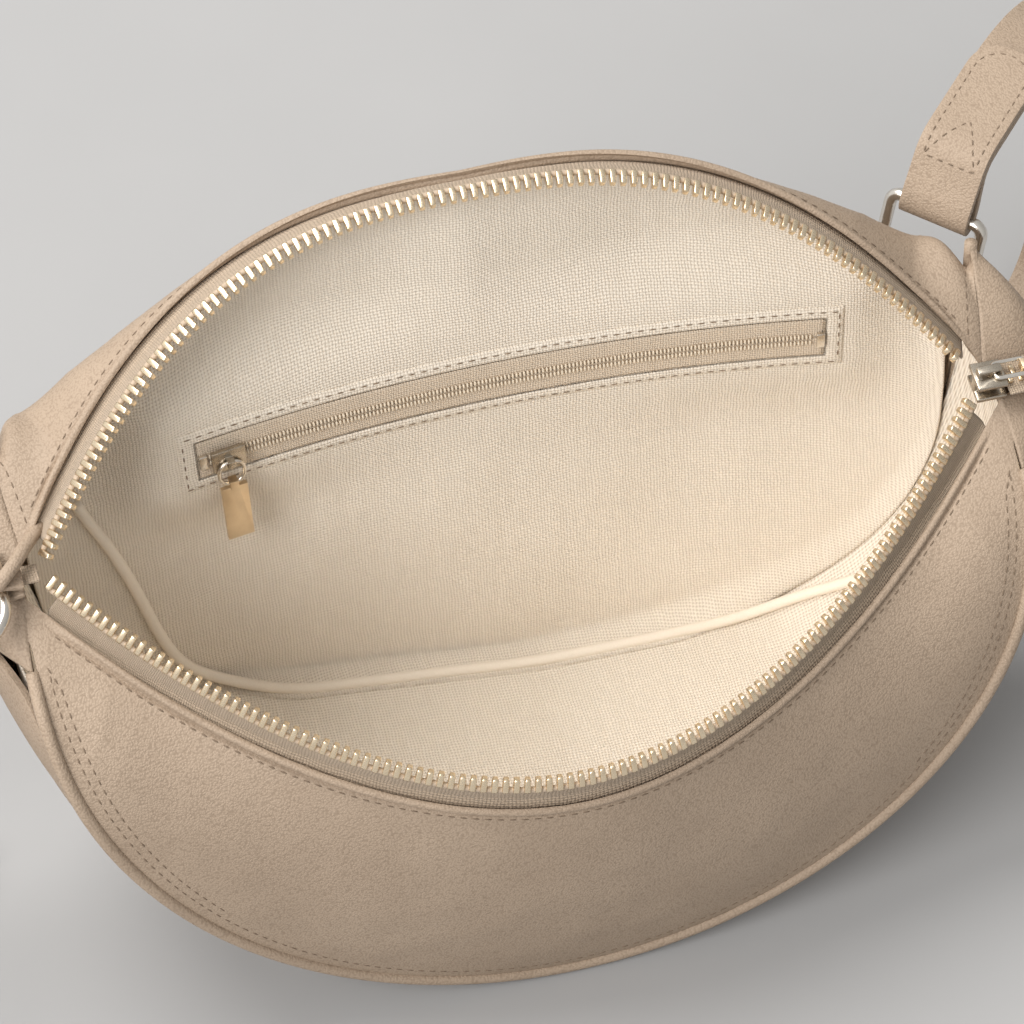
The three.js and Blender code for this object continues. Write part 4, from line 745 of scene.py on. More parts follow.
def hide_surface(wall, seed, share, drop):
    """Points of the hide at distances down from its rim, and the directions that they face."""
    full = seam_distance(wall, share, SEAM_MARGIN)
    spots, facing = on_wall(wall, share, drop)
    below = drop - RIM_CUT
    bead = BEAD_HIGH * np.sqrt(np.clip(1 - (2 * below / BEAD_DEEP - 1) ** 2, 0, 1))
    crease = -CREASE_DEEP * np.exp(-((below - BEAD_DEEP - CREASE_AT) / CREASE_WIDE) ** 2)
    calm = smooth(*CALM_RIM, drop) * smooth(*CALM_SEAM, full - drop)
    slow, fine = ripple(spots, SLOW_SIZE, seed), ripple(spots, FINE_SIZE, seed + 4)
    wave = SLOW_WAVE * calm * slow + FINE_WAVE * calm * fine
    tip = smooth(*BEAD_TIP, share) * smooth(*BEAD_TIP, 1 - share)
    return spots + facing * ((bead + crease) * tip + wave)[:, None], facing


def leather_wall(name, wall, nodes, seed):
    def place(u, v):
        share = tip_share(u)
        full = seam_distance(wall, share, SEAM_MARGIN)
        zone = np.minimum(RIM_ZONE, full / 2)
        rim, rest = mix(RIM_CUT, zone, v / RIM_ROWS), mix(zone, full, (v - RIM_ROWS) / (1 - RIM_ROWS))
        drop = np.where(v < RIM_ROWS, rim, rest)
        return hide_surface(wall, seed, share, drop)[0]

    side = wall["sign"]
    return skin(name, 220, 72, place, face_up, lambda c: (0, side, -0.1), leather, "bag", nodes,
                HIDE, HIDE_ROUND)


for name, wall, seed in (("front", FRONT, FRONT_SEED), ("back", BACK, BACK_SEED)):
    leather_wall(f"{name}_panel_skin", wall, [f"{name}_panel"], seed)

# %% [markdown]
# ## Gusset and ends
# One long strip closes the bag's ends and its underside. It is a skin too: across, it goes from seam to
# seam, and along, it follows the seams from tip to tip. Its ends flare, and a small hide closes each
# corner between a flared end and the end of a wall.

# %% Gusset
GUSSET_SWELL, GUSSET_END_SHARE, GUSSET_END_DIP, GUSSET_END_OUT = 0.12, 0.1, 8.0, 6.0
GUSSET_FLARE, FLARE_POWER, BAG_MIDDLE_Z = 9.0, 1.6, 120.0


def edge_share(wall, angle, span, margin):
    before = np.maximum(angle - ANGLE_STEP, TIP_ANGLE)
    after = np.minimum(angle + ANGLE_STEP, math.pi - TIP_ANGLE)
    run = unit(seam_line(wall, after) - seam_line(wall, before))
    square = np.linalg.norm(span - run * (span * run).sum(-1, keepdims=True), axis=-1)
    return np.minimum(margin / square, 0.4)


def gusset_place(margin, inset_share, inset, flare=0.0, tuck=None):
    def place(u, v):
        share = mix(inset_share, 1 - inset_share, tip_share(u))
        full = np.minimum(np.minimum(share, 1 - share) / GUSSET_END_SHARE, 1)
        angle = FRONT["low_angle"](share)
        front, back = seam_line(FRONT, angle), seam_line(BACK, angle)
        span = back - front
        wide = np.linalg.norm(span, axis=1)
        back_margin = mix(margin, margin if tuck is None else tuck, full)
        part = mix(edge_share(FRONT, angle, span, margin), 1 - edge_share(BACK, angle, span, back_margin), v)
        out = np.stack([-np.cos(angle), np.zeros_like(angle), -np.sin(angle)], -1)
        bow = 4 * part * (1 - part)
        swell = GUSSET_SWELL * wide * full * bow + GUSSET_END_OUT * (1 - full) * np.sqrt(bow)
        swell = swell + flare * (1 - full) * np.sin(math.pi * part ** FLARE_POWER)
        spots = front + span * part[:, None] + out * swell[:, None]
        spots[:, 2] = np.maximum(spots[:, 2] - GUSSET_END_DIP * (1 - full) * bow, 0)
        return spots - out * inset
    return place


def out_of_bag(c):
    return Vector((c[0], 0, c[2] - BAG_MIDDLE_Z))


gusset_at = gusset_place(SEAM_MARGIN, 0.004, 0.0, GUSSET_FLARE)
skin("gusset_skin", 180, 44, gusset_at, lies_flat, out_of_bag, leather, "bag", ["gusset"],
     LEATHER, 0.5)

# %% Ends
END_BOW_OUT, END_BOW_UP, END_MEET, END_REACH = 1.5, 2.0, 0.38, 0.96


def end_place(wall, at, start, stop):
    """A small hide between the end of a wall and the flared end of the gusset."""
    def place(u, v):
        edge = wall_point(wall, np.full_like(u, at), 1 - u * END_REACH)
        flared = gusset_at(np.full_like(u, at), mix(start, stop, u))
        bow = (np.sin(math.pi * u) * np.sin(math.pi * v))[:, None]
        return mix(edge, flared, v[:, None]) + bow * np.array([(2 * at - 1) * END_BOW_OUT, 0, END_BOW_UP])
    return place


for side, at in (("left", 0.0), ("right", 1.0)):
    for name, wall, start in (("back", BACK, 1.0), ("front", FRONT, 0.0)):
        skin(f"{side}_{name}_end_hide", 24, 16, end_place(wall, at, start, END_MEET), lies_flat,
             lambda c: (0, 0, 1), leather, "bag", (), HIDE)

# %% [markdown]
# ## Piping
# A thin leather cord is sewn into each seam. A curve with a round bevel is the natural tool, and it is
# turned into a mesh so that the piece is a plain solid like the others.

# %% Piping
def tube(name, spots, radius, finish, body, nodes=(), closed=False, sides=4):
    curve = bpy.data.curves.new(name, "CURVE")
    curve.dimensions = "3D"
    curve.bevel_depth = radius * MM
    curve.bevel_resolution = sides
    curve.use_fill_caps = True
    spline = curve.splines.new("POLY")
    spline.points.add(len(spots) - 1)
    for point, spot in zip(spline.points, spots):
        point.co = (*(Vector(spot) * MM), 1)
    spline.use_cyclic_u = closed
    holder = bpy.data.objects.new(name + "_line", curve)
    bpy.context.scene.collection.objects.link(holder)
    bpy.context.view_layer.update()
    shape = bpy.data.meshes.new_from_object(holder)
    bm = bmesh.new()
    bm.from_mesh(shape)
    bmesh.ops.remove_doubles(bm, verts=bm.verts[:], dist=1e-6)
    bmesh.ops.recalc_face_normals(bm, faces=bm.faces[:])
    bpy.data.objects.remove(holder)
    bpy.data.curves.remove(curve)
    bpy.data.meshes.remove(shape)
    print(name, len(bm.faces), "faces")
    return new_piece(name, bm, finish, body, nodes)


PIPING, PIPING_STEPS = 1.6, 160
seam_angle = FRONT["low_angle"](tip_share(np.linspace(0, 1, PIPING_STEPS + 1)))
for name, wall in WALLS.items():
    tube(f"{name}_piping_cord", seam_line(wall, seam_angle), PIPING, leather, "bag",
         [f"{name}_piping"])

# %% [markdown]
# ## Lining
# Cream linen hangs inside the walls. A copy of the leather, moved inwards, would be too stiff: linen is
# slacker, so it moves more, and it hangs a little above the base. Round the pocket it lies flat on the
# pocket's own patch, because there it is sewn through. So that patch is measured first.

# %% Pocket patch
POCKET_LEFT, POCKET_RIGHT, POCKET_Z = -75.5, 91.5, 104.0
POCKET_MID = (POCKET_LEFT + POCKET_RIGHT) / 2
BOW, LEAN = 464.0, 0.148
FRAME_HIGH, WINDOW_HIGH, FRAME_END = 19.0, 12.0, 4.5
ARC_Y = JOINTS["pocket_slider_run"]["pos_m"][1] / MM


def patch_point(along, up, lift):
    turn = (along - POCKET_MID) / BOW
    radius = BOW + up * math.sin(LEAN) - lift * math.cos(LEAN)
    z = POCKET_Z + up * math.cos(LEAN) + lift * math.sin(LEAN)
    return np.stack([POCKET_MID + radius * np.sin(turn), ARC_Y + radius * np.cos(turn), z + 0 * turn], -1)


def patch_place(spots):
    up = (spots[:, 2] - POCKET_Z) / math.cos(LEAN)
    radius = BOW + up * math.sin(LEAN)
    turn = np.arcsin(np.clip((spots[:, 0] - POCKET_MID) / radius, -0.9, 0.9))
    return POCKET_MID + turn * BOW, up, ARC_Y + radius * np.cos(turn)


print("pocket", POCKET_RIGHT - POCKET_LEFT, "mm long, bowed about y", round(ARC_Y, 1))

# %% Linings
FLOOR_HIGH, FLOOR_SLOPE, SLOPE_FROM, FLOOR_SOFT = 15.5, 0.155, 10.0, 2.0
SLACK, WALL_LIFT, SHELF_IN, HOLD_FADE, HOLD_BACK = 0.8, 0.5, 7.0, 24.0, 0.25


def lining_drop(wall, share, v):
    tuck = mix(LINING_MARGIN, LINING_TUCK, smooth(0.06, 0.16, np.minimum(share, 1 - share)))
    return mix(LINING_TOP, seam_distance(wall, share, tuck), v)


def lift_floor(spots, above=0.0):
    """The lining hangs a little above the leather base, higher towards the left."""
    level = FLOOR_HIGH + above + FLOOR_SLOPE * np.maximum(SLOPE_FROM - spots[:, 0], 0)
    spots[:, 2] = level + FLOOR_SOFT * np.logaddexp(0, (spots[:, 2] - level) / FLOOR_SOFT)
    return spots


def lining_wall(name, wall, nodes, seed, columns, rows, hold_patch, first, last):
    def place(u, v):
        share = mix(first, last, tip_share(u))
        drop = lining_drop(wall, share, v)
        spots, facing = on_wall(wall, share, drop)
        calm = smooth(0, 0.12, v) * smooth(0, 0.12, 1 - v)
        slack = SLACK * calm * (ripple(spots * (1, 1, 0.5), 24, seed) + 0.5)
        spots = lift_floor(spots - facing * (LINING_OUT + slack)[:, None], WALL_LIFT)
        if hold_patch:
            shelf = smooth(0.93, 1, v) * smooth(0.3, 0.38, share) * mix(1, 0.3, smooth(0.6, 0.7, share))
            spots[:, 1] -= SHELF_IN * shelf
            along, up, patch_y = patch_place(spots)
            side = np.maximum(np.maximum(POCKET_LEFT - along, along - POCKET_RIGHT), 0)
            over = np.maximum(np.abs(up) - FRAME_HIGH / 2, 0)
            held = 1 - smooth(0, HOLD_FADE, np.hypot(side, over))
            spots[:, 1] = mix(spots[:, 1], patch_y + HOLD_BACK, held)
        return spots

    def flat(u, v, spots):
        return np.stack([spots[:, 0], -lining_drop(wall, mix(first, last, tip_share(u)), v)], -1)

    side = wall["sign"]
    return skin(name, columns, rows, place, flat, lambda c: (0, -side, 0.1), linen, "bag", nodes,
                LINING)


lining_wall("front_lining_cloth", FRONT, ["front_lining"], 5, 150, 44, False, 0.0, 1.0)
lining_wall("back_lining_cloth", BACK, ["back_lining"], 6, 200, 110, True, 0.01, 0.972)
floor_place = gusset_place(LINING_MARGIN, 0.02, LEATHER + 5 * GAP, tuck=LINING_TUCK)
skin("gusset_lining_cloth", 150, 40, lambda u, v: lift_floor(floor_place(u, v)), lies_flat,
     lambda c: -out_of_bag(c), linen, "bag", ["gusset_lining"], LINING)

# %% [markdown]
# ## Lining welt
# Where the back lining meets the floor, the seam is covered by a cord in cloth. It hangs down the wall
# at the left and then lies along the floor. The two runs are joined and smoothed, and a tube follows
# them.

# %% Lining welt
WELT, WELT_OUT, WELT_SMOOTHING = 1.45, 1.4, 12
WELT_LAID, WELT_ACROSS, WELT_DRIFT, WELT_LIFT, WELT_RISE = (0.372, 0.8), 0.915, 0.13, 0.6, 0.9
WELT_SHARES = (0.19, 0.202, 0.229, 0.253, 0.275, 0.29, 0.316)
WELT_DROPS = (65.0, 71.2, 85.3, 101.7, 121.7, 132.2, 142.6)
share = np.linspace(WELT_SHARES[0], WELT_SHARES[-1], 40)
hung, hung_facing = on_wall(BACK, share, np.interp(share, WELT_SHARES, WELT_DROPS))
hung = lift_floor(hung - hung_facing * (LINING_OUT + WELT_OUT))
along = np.linspace(*WELT_LAID, 80)
laid = lift_floor(floor_place(along, WELT_ACROSS - WELT_DRIFT * smooth(0.66, 0.78, along)))
laid[:, 2] += WELT_LIFT + WELT_RISE * smooth(0.55, 0.68, along)
welt_spots = np.concatenate([hung, laid])
for _ in range(WELT_SMOOTHING):
    welt_spots[1:-1] = 0.25 * welt_spots[:-2] + 0.5 * welt_spots[1:-1] + 0.25 * welt_spots[2:]
tube("back_lining_welt_cord", welt_spots, WELT, linen_cord, "bag", ["back_lining_welt"])

# %% [markdown]
# ## Mouth zip
# Two woven tapes carry the teeth. Each tape is a narrow skin from behind the rim to the mouth line.
# Every tooth is a small bar that is pressed round the tape's edge: one cube, bevelled once, is stamped
# along each mouth line at the zip's own pitch, because hundreds of finer shapes would only be slow.

# %% Zip tapes
TAPE_FROM, TAPE_HIDDEN, TOOTH_BEAD = 0.025, 4.0, 1.2
TAPE_FOLD, TAPE_LONG, TAPE_TALL = 0.35, 280, 10
TAPE_IN = HIDE + GAP + TAPE / 2


def zip_tape(name, wall, nodes):
    def place(u, v):
        share = mix(TAPE_FROM, 1 - TAPE_FROM, tip_share(u))
        angle = wall["top_angle"](share)
        rise = tape_rise(wall, angle)
        foot, foot_facing = on_wall(wall, share, np.full_like(share, TAPE_HIDDEN))
        edge, edge_facing = on_wall(wall, share, np.zeros_like(share))
        foot, edge = foot - foot_facing * TAPE_IN, edge - edge_facing * TAPE_IN + rise * GAP
        tip = teeth_line(wall, angle) - rise * (TOOTH_BEAD + GAP)
        low = np.clip(v / TAPE_FOLD, 0, 1)[:, None]
        high = np.clip((v - TAPE_FOLD) / (1 - TAPE_FOLD), 0, 1)[:, None]
        return mix(mix(foot, edge, low), tip, high)

    def flat(u, v, spots):
        return np.stack([u * TAPE_LONG, v * TAPE_TALL], -1)

    piece = skin(name, 200, 8, place, flat, lambda c: (0, -0.2, 1), tape_cloth, "bag", nodes, TAPE)
    piece.modifiers["thickness"].offset = 0
    return piece


for name, wall in WALLS.items():
    zip_tape(f"{name}_zip_tape_cloth", wall, [f"{name}_zip_tape"])

# %% Zip teeth
LEFT_END, RIGHT_END = math.acos(STRINGER_LEFT), math.pi - math.acos(STRINGER_RIGHT)
TOOTH_SIZE, TOOTH_ROUND, TOOTH_TAPER, TAPER_FROM = (1.6, 3.7, 2.3), 0.34, (0.86, 1, 0.86), 0.6
TOOTH_LIFT, BEAD_RADIUS = 0.25, 0.75


def tooth_shape():
    bm = bmesh.new()
    bmesh.ops.create_cube(bm, size=1)
    bmesh.ops.scale(bm, vec=TOOTH_SIZE, verts=bm.verts[:])
    bmesh.ops.bevel(bm, geom=bm.edges[:], offset=TOOTH_ROUND, segments=2, profile=0.5, affect="EDGES",
                    material=-1)
    bmesh.ops.scale(bm, vec=TOOTH_TAPER, verts=[v for v in bm.verts if v.co.y > TAPER_FROM])
    return as_mesh("tooth", bm)


def frame_at(spot, x_axis, y_axis):
    x = Vector(x_axis).normalized()
    z = x.cross(Vector(y_axis)).normalized()
    y = z.cross(x)
    turn = Matrix((x, y, z)).transposed().to_4x4()
    return Matrix.Translation(Vector(spot) * MM) @ turn @ Matrix.Scale(MM, 4)


def stamp(shape, places):
    bm = bmesh.new()
    for place in places:
        copy = shape.copy()
        copy.transform(place)
        bm.from_mesh(copy)
        bpy.data.meshes.remove(copy)
    return bm


def even_angles(wall):
    angle = np.linspace(LEFT_END, RIGHT_END, 4000)
    length = lengths_along(teeth_line(wall, angle))
    return np.interp(np.arange(0, length[-1], TOOTH_PITCH), length, angle)


tooth = tooth_shape()
for name, wall in WALLS.items():
    angle = even_angles(wall)
    spots, run, rise = teeth_line(wall, angle), run_of(wall, angle), tape_rise(wall, angle)
    places = [frame_at(p + TOOTH_LIFT * q, r, q) for p, r, q in zip(spots, run, rise)]
    row, node = stamp(tooth, places), f"{name}_zip_teeth"
    new_piece(node + "_row", row, brass, "bag", [node])
    tube(f"{name}_zip_bead", spots - rise * (TOOTH_BEAD + 0.1), BEAD_RADIUS, tape_cord, "bag")
    print(node, len(places), "teeth")

# %% [markdown]
# ## Metal pieces
# The sliders, links and pulls are already the right solids. Their copies are merged, their flat faces
# are joined and their edges are bevelled, so that they catch the light as cast and pressed metal does.

# %% Metal pieces
def softened(node, finish, width, segments=2):
    bm = bmesh.new()
    bm.from_mesh(frame["nodes"][node].data)
    bmesh.ops.remove_doubles(bm, verts=bm.verts[:], dist=1e-6)
    bmesh.ops.dissolve_limit(bm, angle_limit=math.radians(3), verts=bm.verts[:], edges=bm.edges[:])
    sharp = [e for e in bm.edges if len(e.link_faces) == 2 and e.calc_face_angle() > math.radians(25)]
    print(node, len(sharp), "edges bevelled")
    bmesh.ops.bevel(bm, geom=sharp, offset=width * MM, segments=segments, profile=0.5, affect="EDGES",
                    material=-1, clamp_overlap=True)
    return new_piece(node + "_finished", bm, finish, frame["nodes"][node]["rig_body"], [node])


for node, finish, width in (
    ("main_slider", antique, 0.25), ("main_pull", satin_brass, 0.25), ("pocket_slider", antique, 0.25),
    ("pocket_pull", satin_brass, 0.25), ("pocket_left_stop", nickel, 0.2), ("pocket_right_stop", nickel, 0.2),
    ("buckle_prong", nickel, 0.3),
):
    softened(node, finish, width)

# %% [markdown]
# ## Wire pieces
# The rings, the buckle and the links are bent from round wire. A tube along a rounded frame is rounder
# than the CAD solid. Each is placed from its own joint, so that it turns about the wire that it hangs
# on.

# %% Wire pieces
def rounded_frame(wide, long, top_round, low_round, place, steps=10):
    half = wide / 2
    spots = []
    corners = ((1, long - top_round, top_round, 0.0), (-1, long - top_round, top_round, 0.5),
               (-1, low_round, low_round, 1.0), (1, low_round, low_round, 1.5))
    for side, y, radius, start in corners:
        x = side * (half - radius)
        for k in range(steps + 1):
            angle = (start + 0.5 * k / steps) * math.pi
            spots.append(place(x + radius * math.cos(angle), y + radius * math.sin(angle)))
    return spots


def joint_spot(name):
    return np.array(JOINTS[name]["pos_m"]) / MM


def wire(node, spots, radius, sides=4):
    """A closed wire in place of a CAD node, on the body of the same name."""
    tube(node + "_wire", spots, radius, nickel, node, [node], closed=True, sides=sides)


RING_WIDE, RING_LONG, RING_TOP, RING_LOW, WIRE = 24.5, 18.0, 2.6, 7.0, 1.6
UP = np.array([0.0, 0, 1])
right_centre, right_hold = joint_spot("right_ring_swing"), joint_spot("right_strap_swing")
right_bar = np.array(JOINTS["right_ring_swing"]["axis"])
right_rise = (right_hold - right_centre) / RING_LONG
left_centre, left_hold = joint_spot("left_ring_swing"), joint_spot("left_strap_swing")
left_bar = np.array([0.0, 1, 0])
left_rise = (left_hold - left_centre) / RING_LONG
for name, centre, bar, rise in (("right", right_centre, right_bar, right_rise),
                                ("left", left_centre, left_bar, left_rise)):
    ring = rounded_frame(RING_WIDE, RING_LONG, RING_TOP, RING_LOW, lambda w, l: centre + bar * w + rise * l)
    wire(f"{name}_ring", ring, WIRE, sides=8)

BUCKLE_WIDE, BUCKLE_LONG, BUCKLE_ROUND, BAR_ROUND, BUCKLE_WIRE = 24, 19, 4, 2, 1.5
buckle_bar = joint_spot("buckle_frame_swing")
buckle = rounded_frame(BUCKLE_WIDE, BUCKLE_LONG, BUCKLE_ROUND, BAR_ROUND, lambda w, l: buckle_bar + (l, w, 0))
wire("buckle_frame", buckle, BUCKLE_WIRE, sides=8)

LINK_WIDE, LINK_LONG, LINK_ROUND, LINK_WIRE = 4.6, 8, 1.2, 0.56
main_pivot = joint_spot("main_pull_link_swing")
main_link = rounded_frame(LINK_WIDE, LINK_LONG, LINK_ROUND, LINK_ROUND,
                          lambda w, l: main_pivot + (l, w, 0), 6)
wire("main_pull_link", main_link, LINK_WIRE)

HOOP_WIDE, HOOP_LONG, HOOP_ROUND, HOOP_WIRE = 6.4, 7.0, 3, 0.5
pocket_pivot, pocket_bar = joint_spot("pocket_pull_link_swing"), joint_spot("pocket_pull_swing")
pocket_side = -np.array(JOINTS["pocket_pull_swing"]["axis"])
pocket_down = (pocket_bar - pocket_pivot) / HOOP_LONG
hoop = rounded_frame(HOOP_WIDE, HOOP_LONG, HOOP_ROUND, HOOP_ROUND,
                     lambda w, l: pocket_pivot + pocket_side * w + pocket_down * l, 8)
wire("pocket_pull_link", hoop, HOOP_WIRE)

# %% [markdown]
# ## Zip tail and ends
# At the right tip the two rows of teeth are closed and run on, as a chain, to a folded leather tab. At
# the left tip a short tape is gripped by the leather loop of the ring. Both tapes are flat skins, and
# the chain's teeth are the mouth's teeth at a smaller size.

# %% Zip tail
TAIL_X, TAIL_LONG, TAIL_WIDE = 120.002, 17.0, 10.4
CHAIN_COUNT, CHAIN_START, CHAIN_OUT, CHAIN_UP, CHAIN_SIZE = 9, 0.9, 1.1, 0.95, (0.66, 0.72, 0.42, 1)
HEAD_X, HEAD_LONG, HEAD_WIDE = MOUTH_HALF * STRINGER_LEFT + 2.5, 7.0, 5.0


def tape_block(name, x, long, wide, nodes):
    def place(u, v):
        return np.stack([x + u * long, TIP_Y + (v - 0.5) * wide, np.full_like(u, TIP_Z + TAPE / 2)], -1)
    return skin(name, 16, 10, place, lies_flat, lambda c: (0, 0, 1), tape_cloth, "bag", nodes, TAPE)


tape_block("tail_tape_cloth", TAIL_X, TAIL_LONG, TAIL_WIDE, ["tail_tape"])
tape_block("head_tape_cloth", -HEAD_X - HEAD_LONG, HEAD_LONG, HEAD_WIDE, ["head_tape"])
chain = []
for k in range(CHAIN_COUNT):
    side = 1 if k % 2 else -1
    spot = (TAIL_X + CHAIN_START + k * TOOTH_PITCH / 2, TIP_Y + side * CHAIN_OUT, TIP_Z + CHAIN_UP)
    chain.append(frame_at(spot, (1, 0, 0), (0, -side, 0)) @ Matrix.Diagonal(CHAIN_SIZE))
new_piece("tail_chain_teeth", stamp(tooth, chain), brass, "bag", ["tail_chain"])
print("chain of", len(chain), "teeth")

# %% [markdown]
# ## Straps, loops and tabs
# Each is a strip of leather that follows a path in one plane: round a ring, over and down. An array of
# links along a curve would pinch at the bends. Instead, one long grid is laid along the path, and its
# cut edges are rounded.

# %% Strip helper
def arc(centre, radius, start, stop, steps):
    turn = np.linspace(start, stop, steps + 1)
    return [(centre[0] + radius * math.cos(t), centre[1] + radius * math.sin(t)) for t in turn]


def fine_path(path, step):
    path = np.array(path, float)
    length = lengths_along(path)
    count = max(int(length[-1] / step), 4)
    share = np.linspace(0, length[-1], count + 1)
    fine = np.stack([np.interp(share, length, path[:, k]) for k in range(2)], -1)
    for _ in range(3):
        fine[1:-1] = 0.25 * fine[:-2] + 0.5 * fine[1:-1] + 0.25 * fine[2:]
    return share, fine


def strip(name, path, wide_at, across, place, thick, finish, body, nodes, step=1.0, columns=12,
          edge=0.5):
    share, fine = fine_path(path, step)
    run = np.gradient(fine, axis=0)
    run /= np.linalg.norm(run, axis=1, keepdims=True)
    normal = np.stack([-run[:, 1], run[:, 0]], -1)

    middle, rows = fine + normal * thick / 2, np.arange(len(fine))

    def put(u, v):
        at = np.stack([np.interp(u * rows[-1], rows, middle[:, k]) for k in range(2)], -1)
        wide = wide_at(u * share[-1], share[-1])
        spots = np.array([place(*spot) for spot in at])
        return spots + np.outer((v - 0.5) * wide, across)

    under = np.array([place(*p) for p in fine])
    above = np.array([place(*(p + n)) for p, n in zip(fine, normal)])

    def outward(c):
        nearest = np.linalg.norm(under - np.array(c), axis=1).argmin()
        return Vector(above[nearest] - under[nearest])

    def flat(u, v, spots):
        return np.stack([u * share[-1], v * STRAP_WIDE], -1)

    return skin(name, len(fine) - 1, columns, put, flat, outward, finish, body, nodes, thick, edge)


print("helpers for strips")

# %% [markdown]
# ## Strap paths
# A strap end is folded round its ring and sewn to itself, so its path goes back along the doubled part,
# round the wire, out again, and then over a wide bend and down to the table. The two sewn layers lie
# beside one middle line, which leaves the ring steeply and then turns.

# %% Strap paths
STRAP_WIDE, TAB_LONG, TAB_ROUND, PINCH, TURN_RADIUS = 18.0, 50.0, 9.0, 12.0, 7.0
STRAP_RUN, RIGHT_BEND, LEFT_BEND, FOOT_BEND, STRAP_END, STRAP_TIP = -8.0, 60.0, 34.0, 16.0, 45.0, 9.0
WIRE_CLEAR, LOOP_THICK, LOOP_WIDE, LOOP_NARROW, LOOP_LEG = 0.35, 1.4, 9.6, 5.5, 14.0
LAYER = LEATHER / 2 + GAP / 2


def strap_line(start, rise):
    """Point beside the middle of a doubled strap that leaves its ring at one angle and turns to another."""
    def spot(t, n):
        turned = min(max(t - PINCH, 0), TURN_RADIUS * (start - rise))
        angle = start - turned / TURN_RADIUS
        straight, after = min(t, PINCH), max(t - PINCH - TURN_RADIUS * (start - rise), 0)
        out = straight * math.cos(start) + TURN_RADIUS * (math.sin(start) - math.sin(angle))
        up = straight * math.sin(start) + TURN_RADIUS * (math.cos(angle) - math.cos(start))
        out, up = out + after * math.cos(rise), up + after * math.sin(rise)
        return out - math.sin(angle) * n, up + math.cos(angle) * n
    return spot


def strap_path(start, rise, radius, drop):
    spot = strap_line(start, rise)
    near = WIRE + WIRE_CLEAR + LEATHER / 2
    bend = np.linspace(PINCH, PINCH + TURN_RADIUS * (start - rise) + 1.5, 9)
    opening = [(PINCH * a, mix(LAYER, near, b)) for a, b in ((0.6, 0.45), (0.3, 0.9))]
    path = [spot(TAB_LONG, LAYER)] + [spot(t, LAYER) for t in bend[::-1]] + [spot(t, n) for t, n in opening]
    path += arc((0, 0), near, start + math.pi / 2, start + math.pi * 1.5, 16)
    path += [spot(t, -n) for t, n in opening[::-1]] + [spot(t, -LAYER) for t in bend]
    path.append(spot(TAB_LONG + STRAP_RUN, -LAYER))
    crest = spot(TAB_LONG + STRAP_RUN, -LAYER - radius)
    path += arc(crest, radius, rise + math.pi / 2, 0, 24)[1:]
    foot = (crest[0] + radius - FOOT_BEND, -drop + LEATHER / 2 + GAP + FOOT_BEND)
    path += arc(foot, FOOT_BEND, 0, -math.pi / 2, 16)
    return path, (foot[0], foot[1] - FOOT_BEND)


print("doubled part", TAB_LONG, "mm long")

# %% [markdown]
# ## Strap ends
# The right strap end has five holes, and the left one carries the buckle: it is folded round the buckle's
# bar, and a slot in the fold lets the prong through. A Boolean cuts the holes and the slot, because a grid
# has no place for round edges.

# %% Tips and cuts
ROUND_SHARE = 0.3


def round_tip(distance, radius):
    reach = np.clip(distance / radius, 0, 1)
    return STRAP_WIDE * (ROUND_SHARE + (1 - ROUND_SHARE) * np.sqrt(1 - (1 - reach) ** 2))


def cut_out(piece, cutter_bm):
    """Take a closed shape out of a finished piece."""
    cutter = bpy.data.objects.new("cutter", as_mesh("cutter", cutter_bm))
    bpy.context.scene.collection.objects.link(cutter)
    hole = piece.modifiers.new("cut", "BOOLEAN")
    hole.operation = "DIFFERENCE"
    hole.solver = "EXACT"
    hole.object = cutter
    bpy.context.view_layer.update()
    whole = piece.evaluated_get(bpy.context.evaluated_depsgraph_get())
    finished = bpy.data.meshes.new_from_object(whole)
    piece.modifiers.clear()
    piece.data = finished
    bpy.data.objects.remove(cutter)
    print(piece.name, "cut to", len(finished.polygons), "faces")


print("tips rounded over", TAB_ROUND, "and", STRAP_TIP, "mm")

# %% Right strap
RIGHT_START, RIGHT_RISE, LEFT_RISE = 1.2, 0.05, 0.26
HOLE_RADIUS, HOLE_PITCH, HOLE_START, HOLE_COUNT = 1.8, 7.5, 5.0, 5
right_away = np.array([-right_bar[1], right_bar[0], 0])
right_path, right_flat = strap_path(RIGHT_START, RIGHT_RISE, RIGHT_BEND, right_hold[2])
right_path.append((right_flat[0] - STRAP_END, right_flat[1]))


def right_place(o, z):
    return right_hold + right_away * o + UP * z


def right_wide(at, total):
    return np.minimum(round_tip(at, TAB_ROUND), round_tip(total - at, STRAP_TIP))


right_strap = strip("right_strap_hide", right_path, right_wide, right_bar, right_place, LEATHER, leather,
                    "right_strap", ["right_strap"])
drills = bmesh.new()
for k in range(HOLE_COUNT):
    spot = right_place(right_flat[0] - STRAP_END + STRAP_TIP + HOLE_START + k * HOLE_PITCH, right_flat[1])
    bmesh.ops.create_cone(drills, cap_ends=True, segments=24, radius1=HOLE_RADIUS * MM,
                          radius2=HOLE_RADIUS * MM, depth=4 * LEATHER * MM,
                          matrix=Matrix.Translation(Vector(spot) * MM))
cut_out(right_strap, drills)

# %% Left strap
KEEPER_STAND = 1.55
left_away = np.array([-1.0, 0, 0])
left_path, left_flat = strap_path(LEFT_RISE, LEFT_RISE, LEFT_BEND, left_hold[2] - KEEPER_STAND)
fold = 1.5 + WIRE_CLEAR + LEATHER / 2
bar_at = (left_flat[0] - (STRAP_END - 1), left_flat[1] + fold)
left_path += arc(bar_at, fold, -math.pi / 2, -math.pi * 1.5, 16)
fold_end = bar_at[1] - fold + LEATHER + GAP
left_path += [(bar_at[0] + 7, bar_at[1] + fold * 0.85), (bar_at[0] + 13, fold_end + 0.4),
              (bar_at[0] + 20, fold_end)]


def left_place(o, z):
    return left_hold + left_away * o + UP * z


